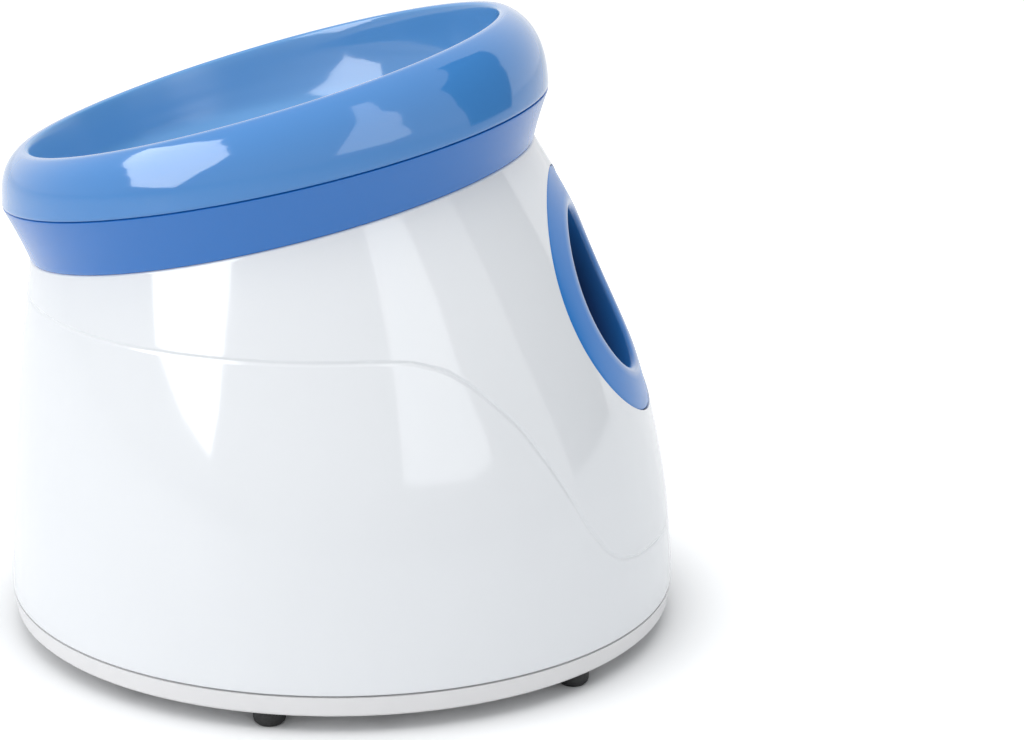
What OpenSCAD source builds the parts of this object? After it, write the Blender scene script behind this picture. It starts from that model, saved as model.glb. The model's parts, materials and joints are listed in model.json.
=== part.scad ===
// Tabletop ball launcher: a leaning white shell on a round base, a blue bowl on top that feeds
// balls down a throat, and a sprung hammer that throws each ball out of the sloping port.
// Millimetres. +Z is up, +X is the throwing direction, the origin is on the floor under the base.

/* [Ball] */
// Diameter of the ball that is thrown
ball_d = 50.8; // [48:0.2:52]
// Clearance round the ball in the barrel
barrel_clear = 3.1; // [2.5:0.1:3.4]
// Clearance round the ball in the throat and drop tube
throat_clear = 4.1; // [3.5:0.1:4.6]

/* [Base] */
// Radius of the white shell at its bottom edge
base_radius = 112.8; // [108:0.2:122]
// Height of the rubber feet
foot_height = 5.5; // [4:0.5:9]
// Radius of a rubber foot
foot_radius = 5.2; // [4:0.1:6]
// Distance of a foot's centre from the tray's edge
foot_inset = 8.3; // [7.5:0.1:12]
// Height of the bottom tray's side wall
tray_height = 6.7; // [5.5:0.1:9]
// Inward taper of the tray's side wall
tray_taper = 1; // [0.2:0.1:3]
// Thickness of the tray's floor
floor_t = 2.5; // [2:0.1:3.2]
// Height of the dark joint line between tray and shell
joint_gap = 0.5; // [0.3:0.1:0.8]

/* [Shell] */
// Wall thickness of the outer mouldings
wall = 2.6; // [2.2:0.1:3]
// Height of the centre of the shell's top edge above the tray's bottom
shell_height = 138.3; // [134:0.5:150]
// Radius of the shell's top edge
shell_top_radius = 85.6; // [83:0.2:92]
// Rearward offset of the shell's top edge
shell_offset = 20; // [16:0.5:24]
// Tilt of the shell's top edge in degrees
shell_tilt = 13.6; // [11:0.2:16]
// Bulge exponent of the shell's side
shell_bulge = 2.06; // [1.8:0.02:2.4]
// Width of the flange inside the shell's top edge
flange_w = 9; // [8:0.5:11]
// Thickness of the flanges between shell and collar
flange_t = 3; // [2.5:0.1:3.5]
// Radius of the case screws
screw_r = 1.5; // [1.2:0.1:1.6]

/* [Hopper] */
// Radius of the blue rim where it is widest
rim_radius = 91.9; // [90:0.2:96]
// Height of the rim's seam above the shell's top edge
collar_height = 17.7; // [16:0.1:20]
// Flare exponent of the collar's side
collar_flare = 1.2; // [1:0.05:1.6]
// Rearward lean of the collar
collar_lean = 2; // [0:0.1:4]
// Tilt of the rim's seam in degrees
rim_tilt = 12.24; // [10:0.2:14]
// Radius of the bowl's crest
crest_radius = 82.5; // [80:0.2:86]
// Height of the crest above the rim's seam
crest_height = 21.1; // [19:0.1:23]
// Rearward lean of the crest
crest_lean = 4.1; // [1:0.1:6]
// Tilt of the crest in degrees
crest_tilt = 16.28; // [14:0.2:18]
// Wall thickness of the bowl
bowl_wall = 2.4; // [2:0.1:2.8]
// Height of the throat's upper edge above the tray's bottom
throat_height = 122.5; // [121.5:0.5:124]
// Length of the throat under its upper edge
throat_length = 8; // [6:0.5:9]

/* [Port and barrel] */
// Angle of the throw above the horizon
launch_angle = 24; // [21:0.5:26]
// Position of the port along the shell's slope, from bottom to top
port_place = 0.7; // [0.68:0.005:0.72]
// Radius of the blue port ring
port_radius = 43.4; // [41:0.2:45]
// Length of the port ring's sleeve
sleeve_length = 22; // [18:0.5:26]
// Distance of the waiting ball behind the port
seat_distance = 110; // [108:0.5:114]
// Wall thickness of the barrel and drop tube
tube_wall = 2.5; // [2:0.1:2.8]

/* [Hammer] */
// Length from the pivot to the middle of the hammer's head
hammer_length = 58; // [56:0.5:60]
// Thickness of the hammer's arm
arm_t = 8; // [6:0.5:9]
// Width of the hammer's arm
arm_w = 16; // [12:1:16]
// Radius of the hammer's head
head_radius = 15; // [12:0.5:16]
// Thickness of the rubber pad
pad_t = 6; // [4:0.5:7]
// Radius of the hammer's shaft
hammer_shaft_r = 3; // [2.5:0.1:3.5]

/* [Gears] */
// Module of the hammer's gear pair
module_a = 1.25; // [1.2:0.01:1.3]
// Teeth of the hammer's gear as a full wheel
teeth_hammer = 24; // [24:1:26]
// Teeth of the winding gear as a full wheel
teeth_winding = 36; // [34:1:37]
// Module of the winding wheel's pair
module_b = 1; // [0.96:0.01:1.04]
// Teeth of the winding wheel
teeth_wheel = 48; // [46:1:49]
// Teeth of the reduction pinion
teeth_pinion = 12; // [12:1:13]
// Module of the motor's pair
module_c = 0.8; // [0.75:0.01:0.85]
// Teeth of the reduction wheel
teeth_reduction = 32; // [30:1:34]
// Teeth of the motor pinion
teeth_motor = 11; // [11:1:12]
// Extra centre distance of each pair
gear_slack = 0.12; // [0.08:0.01:0.2]
// Play of each tooth at the pitch circle
tooth_play = 0.16; // [0.1:0.01:0.25]
// Width of the gear teeth on the hammer and winding gear
gear_w = 6; // [5:0.5:6.5]
// Radial clearance between a shaft and its bore
shaft_clear = 0.05; // [0.03:0.01:0.1]

/* [Frame] */
// Half of the free width between the two chassis plates
plate_half_gap = 34.3; // [34:0.1:36]
// Thickness of a chassis plate
plate_t = 3; // [2.5:0.1:3.4]
// Length of the pillars that carry the gearbox plate
gearbox_depth = 25.5; // [25:0.1:27]
// Radius of the motor
motor_r = 12.2; // [11:0.1:12.5]
// Length of the motor
motor_length = 30.8; // [26:0.2:32]

/* [Battery box] */
// Diameter of a battery cell
cell_d = 26.2; // [25:0.1:26.6]
// Length of a battery cell
cell_length = 50; // [48:0.1:50]
// Clearance round the cells
cell_clear = 0.4; // [0.2:0.1:0.6]
// Wall thickness of the battery box
box_wall = 1.5; // [1.2:0.1:1.8]
// Room for the contacts at each end of the cells
contact_room = 3.5; // [3:0.1:5]

/* [Controls] */
// Radius of the power button
button_r = 10; // [8:0.2:11]
// Travel of the power button
button_travel = 1.2; // [0.8:0.1:1.5]
// Direction of the controls round the base, in degrees
control_angle = 150; // [146:1:154]
// Side clearance of the button in its hole
button_clear = 0.4; // [0.3:0.05:0.6]

/* [Hidden] */
$fn = 64;
cols = 64;
gap = 0.3;
z0 = foot_height;
base_top = z0 + tray_height;
floor_top = z0 + floor_t;
seam_z = base_top + joint_gap;

// Rings are [centre x, centre z, radius, tilt].
top_c = [-shell_offset, z0 + shell_height];
top_right = top_c + shell_top_radius * [cos(shell_tilt), sin(shell_tilt)];
top_left = top_c - shell_top_radius * [cos(shell_tilt), sin(shell_tilt)];
function side_right(t) = [base_radius - (base_radius - top_right[0]) * pow(t, shell_bulge),
  z0 + (top_right[1] - z0) * t];
function side_left(t) = [-base_radius + (base_radius + top_left[0]) * pow(t, shell_bulge),
  z0 + (top_left[1] - z0) * t];
function mix(a, b, w) = a + (b - a) * w;
function ring_of(a, b, inset) = [(a[0] + b[0]) / 2, (a[1] + b[1]) / 2, norm(b - a) / 2 - inset,
  atan2(b[1] - a[1], b[0] - a[0])];
function body_ring(t, inset = 0) = ring_of(side_left(t), side_right(t), inset);
under_flange = ring_of(side_left(1 - 0.8 * flange_t / (top_left[1] - z0)),
  side_right(1 - 0.8 * flange_t / (top_right[1] - z0)), wall);
function collar_ring(v, r) = [-shell_offset - collar_lean * v, z0 + shell_height + collar_height * v,
  r, shell_tilt + (rim_tilt - shell_tilt) * v];
function rim_ring(u, r) = [-shell_offset - collar_lean - crest_lean * u * u,
  z0 + shell_height + collar_height + crest_height * u, r, rim_tilt + (crest_tilt - rim_tilt) * u];
function rim_r(u) = crest_radius + (rim_radius - crest_radius) * pow(1 - pow(u, 3.2), 0.75);
function collar_r(v) = mix(shell_top_radius, rim_radius, pow(v, collar_flare));
function sunk(r, d) = [r[0] + d * sin(r[3]), r[1] - d * cos(r[3]), r[2], r[3]];
function lowered(r, d) = [r[0], r[1] - d, r[2], r[3]];
function ring_pt(r, a) = [r[0] + r[2] * cos(a) * cos(r[3]), r[2] * sin(a),
  r[1] + r[2] * cos(a) * sin(r[3])];

// Port, barrel and seat.
aim = [cos(launch_angle), sin(launch_angle)];
port_c = side_right(port_place);
seat = port_c - seat_distance * aim;
barrel_r = ball_d / 2 + barrel_clear;
throat_r = ball_d / 2 + throat_clear;
tube_end = seat_distance + 8;
drop_top = z0 + throat_height - throat_length;

// Hammer and gear train, all in the XZ plane.
setback = ball_d / 2 + pad_t + arm_t / 2;
pivot = seat - setback * aim + hammer_length * [-aim[1], aim[0]];
function pitch(m, n) = m * n / 2;
function step(from, dist, dir) = from + dist * [cos(dir), sin(dir)];
dir_a = -50;
dir_b = -35;
dir_c = 10;
wind_c = step(pivot, pitch(module_a, teeth_hammer + teeth_winding) + gear_slack, dir_a);
redu_c = step(wind_c, pitch(module_b, teeth_wheel + teeth_pinion) + gear_slack, dir_b);
motor_c = step(redu_c, pitch(module_c, teeth_reduction + teeth_motor) + gear_slack, dir_c);
wind_shaft_r = 2.5;
redu_shaft_r = 2;
motor_shaft_r = 1;
plate_out = plate_half_gap + plate_t;
gear_y = plate_out + 2.5;
wheel_y = gear_y + gear_w + 2;
wheel_w = 5;
redu_y = wheel_y + wheel_w + 2;
redu_w = 4;
box_y = plate_out + gearbox_depth;
box_plate_t = 2.5;
pillar_r = 3.5;
stay_r = 4;
rod_r = 2;
bumper_r = 3.5;
bumper_c = pivot + 30 * [aim[1], -aim[0]] + (arm_t / 2 + bumper_r + 0.2) * aim;
box_posts = [step(wind_c, 30.5, 235), step(wind_c, 30.5, 75), motor_c + [14, -8]];
front_x = port_c[0] - 33;
plate_top = max(pivot[1] + 6, drop_top - 3.75);
stays = [[pivot[0] - 7, floor_top + 10], [pivot[0] + 19, floor_top + 10], [front_x - 6, floor_top + 16],
  [pivot[0] - 14.5, pivot[1] + 1]];

// Battery box.
rows = [-1, 1];
box_in = [2 * cell_d + 3 * cell_clear, 3 * cell_length + 2 * contact_room + 2 * cell_clear,
  cell_d + 2 * cell_clear];
box_top = floor_top + box_in[2] + box_wall;
cell_z = floor_top + cell_clear + cell_d / 2;
door_t = 2.2;

// Controls: points on the wall and their outward directions.
function wall_pt(t, a) = ring_pt(body_ring(t), a);
function wall_dir(t, a) = let (n = cross(wall_pt(t, a + 1) - wall_pt(t, a - 1),
  wall_pt(t + 0.01, a) - wall_pt(t - 0.01, a))) n / norm(n);
button_t = 0.42;
jack_t = 0.17;
board_depth = 13;
board_l = 36;
board_h = 36;
board_t = 1.6;
post_x = board_l / 2 - 4;
post_y = board_h / 2 - 4;
foot_angles = [180, 95, -95, 37.5, -37.5];
boss_h = 5;
post_top = 27;
lip_r = base_radius - wall - gap - 0.5;
boss_at = base_radius - 10;
flange_at = shell_top_radius - flange_w / 2 - 1;
collar_flange = flange_t / collar_height;
speaker_c = (base_radius - 25.8) * [cos(133.6), sin(133.6)];
speaker_r = 16;
flange_x = [pivot[0] - 6, pivot[0] + 13, front_x - 11];
tray_screw_angles = [20, 75, 122, -20, -75, -122];

// A skin through rings, closed by flat end caps or, as a loop, back onto its first ring.
module loft(rings, loop = false) {
  n = len(rings);
  pts = [for (r = rings) for (i = [0:cols - 1]) ring_pt(r, i * 360 / cols)];
  bands = loop ? n - 1 : n - 2;
  sides = [for (j = [0:bands]) for (i = [0:cols - 1])
    let (k = (i + 1) % cols, a = j * cols, b = ((j + 1) % n) * cols)
    for (f = [[a + i, b + i, b + k], [a + i, b + k, a + k]]) f];
  caps = loop ? [] : [[for (i = [0:cols - 1]) i], [for (i = [cols - 1:-1:0]) (n - 1) * cols + i]];
  polyhedron(points = pts, faces = concat(sides, caps), convexity = 10);
}

// Places children on a ring's plane, with local +Z along its axis.
module on_ring(r) {
  translate([r[0], 0, r[1]]) rotate([0, -r[3], 0]) children();
}

// Places children on the launch axis: +Z points out of the port, z = 0 at the port's centre.
module on_aim() {
  translate([port_c[0], 0, port_c[1]]) rotate([0, 90 - launch_angle, 0]) children();
}

// Places children on the shell's wall, with +Z pointing out.
module on_wall(t, a) {
  p = wall_pt(t, a);
  d = wall_dir(t, a);
  translate(p) rotate([0, acos(d[2]), atan2(d[1], d[0])]) children();
}

// A round piece along Y from y0 to y1 at point c of the XZ plane.
module along_y(c, y0, y1, r) {
  translate([c[0], y1, c[1]]) rotate([90, 0, 0]) cylinder(h = y1 - y0, r = r);
}

// A plate of outline pts in the XZ plane from y0 to y1.
module plate_y(pts, y0, y1) {
  translate([0, y1, 0]) rotate([90, 0, 0]) linear_extrude(y1 - y0) polygon(pts);
}

// Involute tooth outline with stub addendum and a 25 degree pressure angle.
function inv_ang(rb, r) = let (q = sqrt(max(0, r * r / rb / rb - 1))) q * 180 / PI - atan(q);
function tooth_pts(m, n, c) = let (rp = m * n / 2, rb = rp * cos(25), ra = rp + 0.8 * m,
  rf = rp - 1.05 * m, rs = max(rb, rf), half = 90 / n - tooth_play / 2 / rp * 180 / PI,
  off = half + inv_ang(rb, rp))
  concat([for (q = [0, 0.45, 1]) let (r = mix(rs, ra, q), w = off - inv_ang(rb, r)) [r, c - w]],
    [for (q = [1, 0.45, 0]) let (r = mix(rs, ra, q), w = off - inv_ang(rb, r)) [r, c + w]],
    [[rf, c + off], [rf, c + 360 / n - off]]);
function polar(p) = [for (q = p) q[0] * [cos(q[1]), sin(q[1])]];
module gear_shape(m, n, phase) {
  polygon(polar([for (k = [0:n - 1]) each tooth_pts(m, n, phase + k * 360 / n)]));
}
// A gear at c from y0 to y1 with a tooth centred on angle phase.
module gear(c, y0, y1, m, n, phase, bore) {
  translate([c[0], y1, c[1]]) rotate([90, 0, 0]) difference() {
    linear_extrude(y1 - y0) gear_shape(m, n, phase);
    translate([0, 0, -1]) cylinder(h = y1 - y0 + 2, r = bore);
  }
}
// A gear that has teeth only from angle a to angle b, with a hub disc elsewhere.
module part_gear(c, y0, y1, m, n, phase, bore, a, b, hub) {
  reach = 1.2 * (pitch(m, n) + 2 * m);
  fan = [for (k = [0:8]) let (w = mix(a, b, k / 8)) reach * [cos(w), sin(w)]];
  translate([c[0], y1, c[1]]) rotate([90, 0, 0]) difference() {
    linear_extrude(y1 - y0) union() {
      intersection() {
        gear_shape(m, n, phase);
        polygon(concat([[0, 0]], fan));
      }
      circle(r = hub);
    }
    translate([0, 0, -1]) cylinder(h = y1 - y0 + 2, r = bore);
  }
}
module screw_z(head_r, head_h, len) {
  cylinder(h = head_h, r = head_r);
  translate([0, 0, head_h]) cylinder(h = len, r = screw_r);
}

module shell_skin(inset) {
  loft([for (t = [0, 0.15, 0.3, 0.42, 0.54, 0.65, 0.75, 0.84, 0.92, 1]) body_ring(t, inset)]);
}

module outer_shell() color("white") difference() {
  union() {
    loft(concat([for (t = [0, 0.15, 0.3, 0.42, 0.54, 0.65, 0.75, 0.84, 0.92, 1]) body_ring(t)],
      [body_ring(1, flange_w), sunk(body_ring(1, flange_w), flange_t), under_flange],
      [for (t = [0.92, 0.84, 0.75, 0.65, 0.54, 0.42, 0.3, 0.15, 0]) body_ring(t, wall)]), loop = true);
    on_wall(button_t, control_angle) for (x = [-1, 1]) for (y = [-1, 1])
      translate([x * post_y, y * post_x, -board_depth]) cylinder(h = board_depth - wall, r = 3);
    for (a = tray_screw_angles) rotate([0, 0, a]) translate([boss_at, 0, 0]) {
      translate([0, 0, z0 + boss_h]) cylinder(h = post_top - boss_h, r = 4);
      translate([0, -1, base_top + 7])
        cube([base_radius - boss_at - wall / 2 - 0.4, 2, post_top - tray_height - 7]);
    }
  }
  difference() {
    translate([-200, -200, z0 - 10]) cube([400, 400, tray_height + joint_gap + 10]);
    cylinder(h = 60, r = base_radius - 4);
  }
  on_aim() translate([0, 0, -30]) cylinder(h = 60, r = port_radius + gap);
  for (a = tray_screw_angles) rotate([0, 0, a]) translate([boss_at, 0, z0]) cylinder(h = 20, r = screw_r);
  on_wall(button_t, control_angle) {
    translate([0, 0, -wall - 2]) cylinder(h = wall + 6, r = button_r + button_clear);
    for (x = [-1, 0, 1]) translate([-button_r - 7, x * 7, -wall - 2]) cylinder(h = wall + 6, r = 1.8);
    for (x = [-1, 1]) for (y = [-1, 1])
      translate([x * post_y, y * post_x, -board_depth - 1]) cylinder(h = 8, r = screw_r);
  }
  on_wall(jack_t, control_angle) translate([0, 0, -wall - 2]) cylinder(h = wall + 6, r = 5.8);
  on_ring(body_ring(1)) for (a = [45:90:315])
    rotate([0, 0, a]) translate([flange_at, 0, -6]) cylinder(h = 12, r = screw_r + 0.2);
}

module base_tray() color("whitesmoke") difference() {
  union() {
    rotate_extrude($fn = 128) polygon([[0, z0], [base_radius - tray_taper - 0.8, z0],
      [base_radius - tray_taper, z0 + 0.8], [base_radius - 0.1, base_top],
      [lip_r, base_top], [lip_r, base_top + 5.5], [lip_r - 1.6, base_top + 5.5],
      [lip_r - 1.6, floor_top], [0, floor_top]]);
    for (a = tray_screw_angles) rotate([0, 0, a]) translate([boss_at, 0, z0])
      cylinder(h = boss_h, r = 4.6);
  }
  translate([-box_in[0] / 2, -box_in[1] / 2, z0 - 1]) cube([box_in[0], box_in[1], floor_t + 2]);
  for (a = foot_angles) rotate([0, 0, a])
    translate([base_radius - foot_inset, 0, z0 - 1]) cylinder(h = 2.2, r = foot_radius - 1);
  for (a = tray_screw_angles) rotate([0, 0, a]) translate([boss_at, 0, z0 - 1]) {
    cylinder(h = 4, r = 3.2);
    cylinder(h = 20, r = screw_r + 0.1);
  }
  for (s = [-1, 1]) for (x = flange_x) translate([x, s * (plate_half_gap + 7), z0 - 1])
    cylinder(h = 10, r = screw_r);
  for (i = [-2:2]) translate([speaker_c[0] + i * 5, speaker_c[1], z0 - 1]) {
    h = sqrt(pow(speaker_r - 3, 2) - i * i * 25);
    translate([-1, -h, 0]) cube([2, 2 * h, floor_t + 2]);
  }
}

module rubber_feet() color("dimgray") for (a = foot_angles) rotate([0, 0, a])
  translate([base_radius - foot_inset, 0, 0]) {
    rotate_extrude() polygon([[0, 0], [foot_radius - 1.2, 0], [foot_radius - 0.3, 1],
      [foot_radius, 2], [foot_radius, foot_height], [0, foot_height]]);
    translate([0, 0, foot_height]) cylinder(h = 1.2, r = foot_radius - 1);
  }

module hopper_collar() color("royalblue") difference() {
  loft(concat([for (v = [0, 0.08, 0.16, 0.25, 0.4, 0.6, 0.8, 1]) collar_ring(v, collar_r(v))],
    [for (v = [1, 0.7, 0.4, collar_flange]) collar_ring(v, collar_r(v) - wall)],
    [for (v = [collar_flange, 0]) collar_ring(v, shell_top_radius - flange_w)]), loop = true);
  on_ring(body_ring(1)) for (a = [45:90:315])
    rotate([0, 0, a]) translate([flange_at, 0, -1]) cylinder(h = 12, r = screw_r);
}

floor_ring = collar_ring(0.46, crest_radius * 0.73);
throat_ring = [seat[0], z0 + throat_height, throat_r, 0];
throat_end = [seat[0], drop_top, throat_r, 0];
throat_out = throat_r + tube_wall;
module hopper_bowl() color("cornflowerblue") loft(concat(
  [for (u = [0, 0.2, 0.4, 0.55, 0.7, 0.82, 0.91, 0.97]) rim_ring(u, rim_r(u))],
  [rim_ring(1, crest_radius - 0.4), rim_ring(0.99, crest_radius - 1.8), rim_ring(0.92, crest_radius - 2.9),
  rim_ring(0.6, crest_radius - 4.1), rim_ring(0.3, crest_radius - 5.3), rim_ring(0, crest_radius - 7),
  collar_ring(0.79, crest_radius - 10.5), collar_ring(0.57, crest_radius - 16), floor_ring],
  [for (w = [0.4, 0.8]) mix(floor_ring, throat_ring, w)], [throat_ring, throat_end],
  [[seat[0], drop_top, throat_out, 0], [seat[0], drop_top + throat_length * 0.6, throat_out, 0]],
  [for (w = [0.8, 0.4, 0]) lowered(mix(floor_ring, throat_ring, w), bowl_wall * 1.2)],
  [lowered(collar_ring(0.57, crest_radius - 14.6), bowl_wall * 0.8),
  collar_ring(0.79, crest_radius - 10.5 + bowl_wall), rim_ring(0, crest_radius - 7 + bowl_wall),
  rim_ring(0.3, crest_radius - 5.3 + bowl_wall), rim_ring(0.6, crest_radius - 4.1 + bowl_wall),
  rim_ring(0.84, crest_radius - 3.2 + bowl_wall), rim_ring(0.84, rim_r(0.84) - bowl_wall),
  rim_ring(0.7, rim_r(0.7) - bowl_wall), rim_ring(0.4, rim_r(0.4) - bowl_wall),
  rim_ring(0, rim_r(0) - bowl_wall)]), loop = true);

module port_bezel() color("royalblue") difference() {
  union() {
    intersection() {
      difference() {
        shell_skin(0.3);
        shell_skin(wall + 2.3);
      }
      on_aim() translate([0, 0, -30]) cylinder(h = 60, r = port_radius);
    }
    intersection() {
      difference() {
        shell_skin(wall + 0.3);
        shell_skin(wall + 2.3);
      }
      on_aim() translate([0, 0, -34]) cylinder(h = 68, r = port_radius + 4);
    }
    intersection() {
      on_aim() translate([0, 0, -sleeve_length]) cylinder(h = 60, r = barrel_r + tube_wall);
      shell_skin(1.5);
    }
  }
  on_aim() translate([0, 0, -sleeve_length - 1]) cylinder(h = 90, r = barrel_r);
  on_ring(sunk(body_ring(1), 2 * flange_t)) cylinder(h = 30, r = shell_top_radius - 2);
}

module launch_chamber() color("slategray") difference() {
  union() {
    on_aim() translate([0, 0, -tube_end])
      cylinder(h = tube_end - sleeve_length - gap, r = barrel_r + tube_wall);
    translate([seat[0], 0, seat[1]])
      cylinder(h = drop_top - gap - seat[1], r = throat_r + tube_wall);
    translate([seat[0] - 24, -plate_half_gap, seat[1] - 4])
      cube([56, 2 * plate_half_gap, 8]);
  }
  on_aim() translate([0, 0, -tube_end - 45]) cylinder(h = tube_end + 45, r = barrel_r);
  translate([seat[0], 0, seat[1]]) cylinder(h = drop_top - seat[1] + 2, r = throat_r);
  translate([seat[0] - throat_r - 12, -15.4, drop_top - 26]) cube([22, 6.8, 21]);
}

module chassis_plate(y0, holes) {
  x1 = pivot[0] - 12;
  x2 = pivot[0] + 24;
  difference() {
    plate_y([[x1, floor_top], [x2, floor_top], [x2, box_top + 2], [box_in[0] / 2 + 6, box_top + 2],
      [box_in[0] / 2 + 6, floor_top], [front_x, floor_top], [front_x, seat[1]], [front_x - 32, seat[1] + 28],
      [throat_ring[0] - throat_out + 2, plate_top], [pivot[0] - 17, plate_top + 2],
      [pivot[0] - 20, pivot[1] - 6], [x1, pivot[1] - 26]], y0, y0 + plate_t);
    for (h = holes) along_y(h[0], y0 - 1, y0 + plate_t + 1, h[1]);
  }
}

leg_t = 3;
module leg_flanges(s) {
  for (x = flange_x) difference() {
    translate([x - 5, s > 0 ? plate_half_gap : -plate_half_gap - 11, floor_top]) cube([10, 11, leg_t]);
    translate([x, s * (plate_half_gap + 7), floor_top - 1])
      cylinder(h = leg_t + 2, r = screw_r + 0.15);
  }
}

module chassis_near() color("gray") {
  chassis_plate(-plate_out, [[pivot, hammer_shaft_r + shaft_clear], [bumper_c, rod_r]]);
  leg_flanges(-1);
  translate([bumper_c[0] - 5.5, -plate_half_gap - 1, drop_top - 3.4]) cube([10, plate_half_gap - 8, 3]);
}

module chassis_far() color("gray") {
  chassis_plate(plate_half_gap, [[pivot, hammer_shaft_r + shaft_clear], [bumper_c, rod_r],
    [wind_c, wind_shaft_r + shaft_clear], [redu_c, redu_shaft_r + shaft_clear]]);
  leg_flanges(1);
}

module chassis_pillars() color("silver") for (p = stays) along_y(p, -plate_half_gap, plate_half_gap, stay_r);

module at_pivot() translate([pivot[0], 0, pivot[1]]) rotate([0, -launch_angle, 0]) children();

module hammer_arm() color("orange") difference() {
  at_pivot() {
    rotate([90, 0, 0]) cylinder(h = 36, r = 9, center = true);
    translate([-arm_t / 2, -arm_w / 2, -hammer_length]) cube([arm_t, arm_w, hammer_length]);
    translate([-arm_t / 2, 0, -hammer_length]) rotate([0, 90, 0]) cylinder(h = arm_t, r = head_radius);
  }
  along_y(pivot, -30, 30, hammer_shaft_r);
}

module hammer_pad() color("dimgray") at_pivot() translate([arm_t / 2, 0, -hammer_length])
  rotate([0, 90, 0]) cylinder(h = pad_t - 0.2, r = head_radius - 1.5);

module hammer_shaft() color("silver") along_y(pivot, -plate_out - 2, gear_y + gear_w + 1, hammer_shaft_r);

module hammer_gear() color("tan") part_gear(pivot, gear_y, gear_y + gear_w, module_a, teeth_hammer,
  dir_a, hammer_shaft_r, dir_a - 25, dir_a + 70, 7);

// Coil of the torsion spring, drawn as a plain sleeve, with its fixed leg on the near plate.
module hammer_spring() color("lightgray") {
  difference() {
    along_y(pivot, -plate_half_gap + 0.3, -19, 8);
    along_y(pivot, -plate_half_gap - 1, -18, 6);
  }
  translate([pivot[0] - 1, -plate_half_gap + 0.3, pivot[1] - 22]) cube([2, 2, 16]);
}

module stop_rod() color("silver") along_y(bumper_c, -plate_out - 1, plate_out + 1, rod_r);
module stop_bumper() color("dimgray") difference() {
  along_y(bumper_c, -10, 10, bumper_r);
  along_y(bumper_c, -11, 11, rod_r);
}

module winding_gear() color("khaki") part_gear(wind_c, gear_y, gear_y + gear_w, module_a, teeth_winding,
  dir_a + 180 + 180 / teeth_winding, wind_shaft_r, dir_a + 180 - 52, dir_a + 180 + 22, 12);
module winding_wheel() color("khaki") gear(wind_c, wheel_y, wheel_y + wheel_w, module_b, teeth_wheel,
  dir_b, wind_shaft_r);
module train_shaft(c, r) along_y(c, plate_half_gap - 0.5, box_y + box_plate_t + 1, r);
module winding_shaft() color("silver") train_shaft(wind_c, wind_shaft_r);

module reduction_gear() color("wheat") {
  gear(redu_c, wheel_y, redu_y, module_b, teeth_pinion, dir_b + 180 + 180 / teeth_pinion, redu_shaft_r);
  gear(redu_c, redu_y, redu_y + redu_w, module_c, teeth_reduction, dir_c, redu_shaft_r);
}
module reduction_shaft() color("silver") train_shaft(redu_c, redu_shaft_r);

module gearbox_plate() color("darkgray") difference() {
  plate_y([box_posts[0] + [-6, -6], redu_c + [-6, -12], box_posts[2] + [4, -6], box_posts[2] + [8, 6],
    motor_c + [12, 12], box_posts[1] + [7, 3], box_posts[1] + [-5, 5], box_posts[0] + [-6, 6]],
    box_y, box_y + box_plate_t);
  along_y(wind_c, box_y - 1, box_y + box_plate_t + 1, wind_shaft_r + shaft_clear);
  along_y(redu_c, box_y - 1, box_y + box_plate_t + 1, redu_shaft_r + shaft_clear);
  along_y(motor_c, box_y - 1, box_y + box_plate_t + 1, 3.2);
  for (p = box_posts) along_y(p, box_y - 1, box_y + box_plate_t + 1, screw_r + 0.1);
  for (s = [-1, 1]) along_y(motor_c + [s * 8, 0], box_y - 1, box_y + box_plate_t + 1, screw_r);
}
module gearbox_pillars() color("silver") for (p = box_posts) difference() {
  along_y(p, plate_out, box_y, pillar_r);
  along_y(p, box_y - 7, box_y + 1, screw_r);
}
module gearbox_screws() color("dimgray") for (p = box_posts) {
  along_y(p, box_y + box_plate_t, box_y + box_plate_t + 1.8, 2.8);
  along_y(p, box_y - 6, box_y + box_plate_t, screw_r);
}

motor_y = box_y + box_plate_t;
module motor_can() color("silver") difference() {
  union() {
    along_y(motor_c, motor_y, motor_y + motor_length, motor_r);
    along_y(motor_c, motor_y - 2, motor_y, 3);
    along_y(motor_c, motor_y + motor_length, motor_y + motor_length + 1.5, 4);
    for (s = [-1, 1]) translate([motor_c[0] + s * 7 - 1.5, motor_y + motor_length, motor_c[1] - 0.3])
      cube([3, 3, 0.6]);
  }
  along_y(motor_c, motor_y - 3, motor_y + 8, motor_shaft_r + shaft_clear);
  for (s = [-1, 1]) along_y(motor_c + [s * 8, 0], motor_y - 1, motor_y + 4, screw_r);
}
module motor_shaft() color("lightgray") along_y(motor_c, redu_y - 1, motor_y + 7.5, motor_shaft_r);
module motor_pinion() color("gold") gear(motor_c, redu_y - 0.5, redu_y + redu_w - 0.2, module_c, teeth_motor,
  dir_c + 180 + 180 / teeth_motor, motor_shaft_r);
module motor_screws() color("dimgray") for (s = [-1, 1]) {
  along_y(motor_c + [s * 8, 0], box_y - 1, box_y, 2.4);
  along_y(motor_c + [s * 8, 0], box_y, motor_y + 3, screw_r);
}

module chassis_screws() color("dimgray") for (s = [-1, 1]) for (x = flange_x)
  translate([x, s * (plate_half_gap + 7), floor_top + leg_t + 1.8])
    mirror([0, 0, 1]) screw_z(2.8, 1.8, leg_t + floor_t - 0.5);

// Ball switch under its shelf, with its lever reaching through the drop tube's slot.
switch_x = bumper_c[0] - 5.3;
lever_c = [switch_x + 10.4, drop_top - 7];
module ball_switch() color("black") translate([switch_x, -15, drop_top - 23.4]) cube([9.4, 6, 20]);
module switch_lever() color("silver") translate([lever_c[0], -14.4, lever_c[1]]) {
  rotate([0, -45, 0]) translate([-0.3, 0.4, -19]) cube([0.6, 4, 19]);
  translate([0, 4.8, 0]) rotate([90, 0, 0]) cylinder(h = 4.8, r = 0.7);
}

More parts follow.
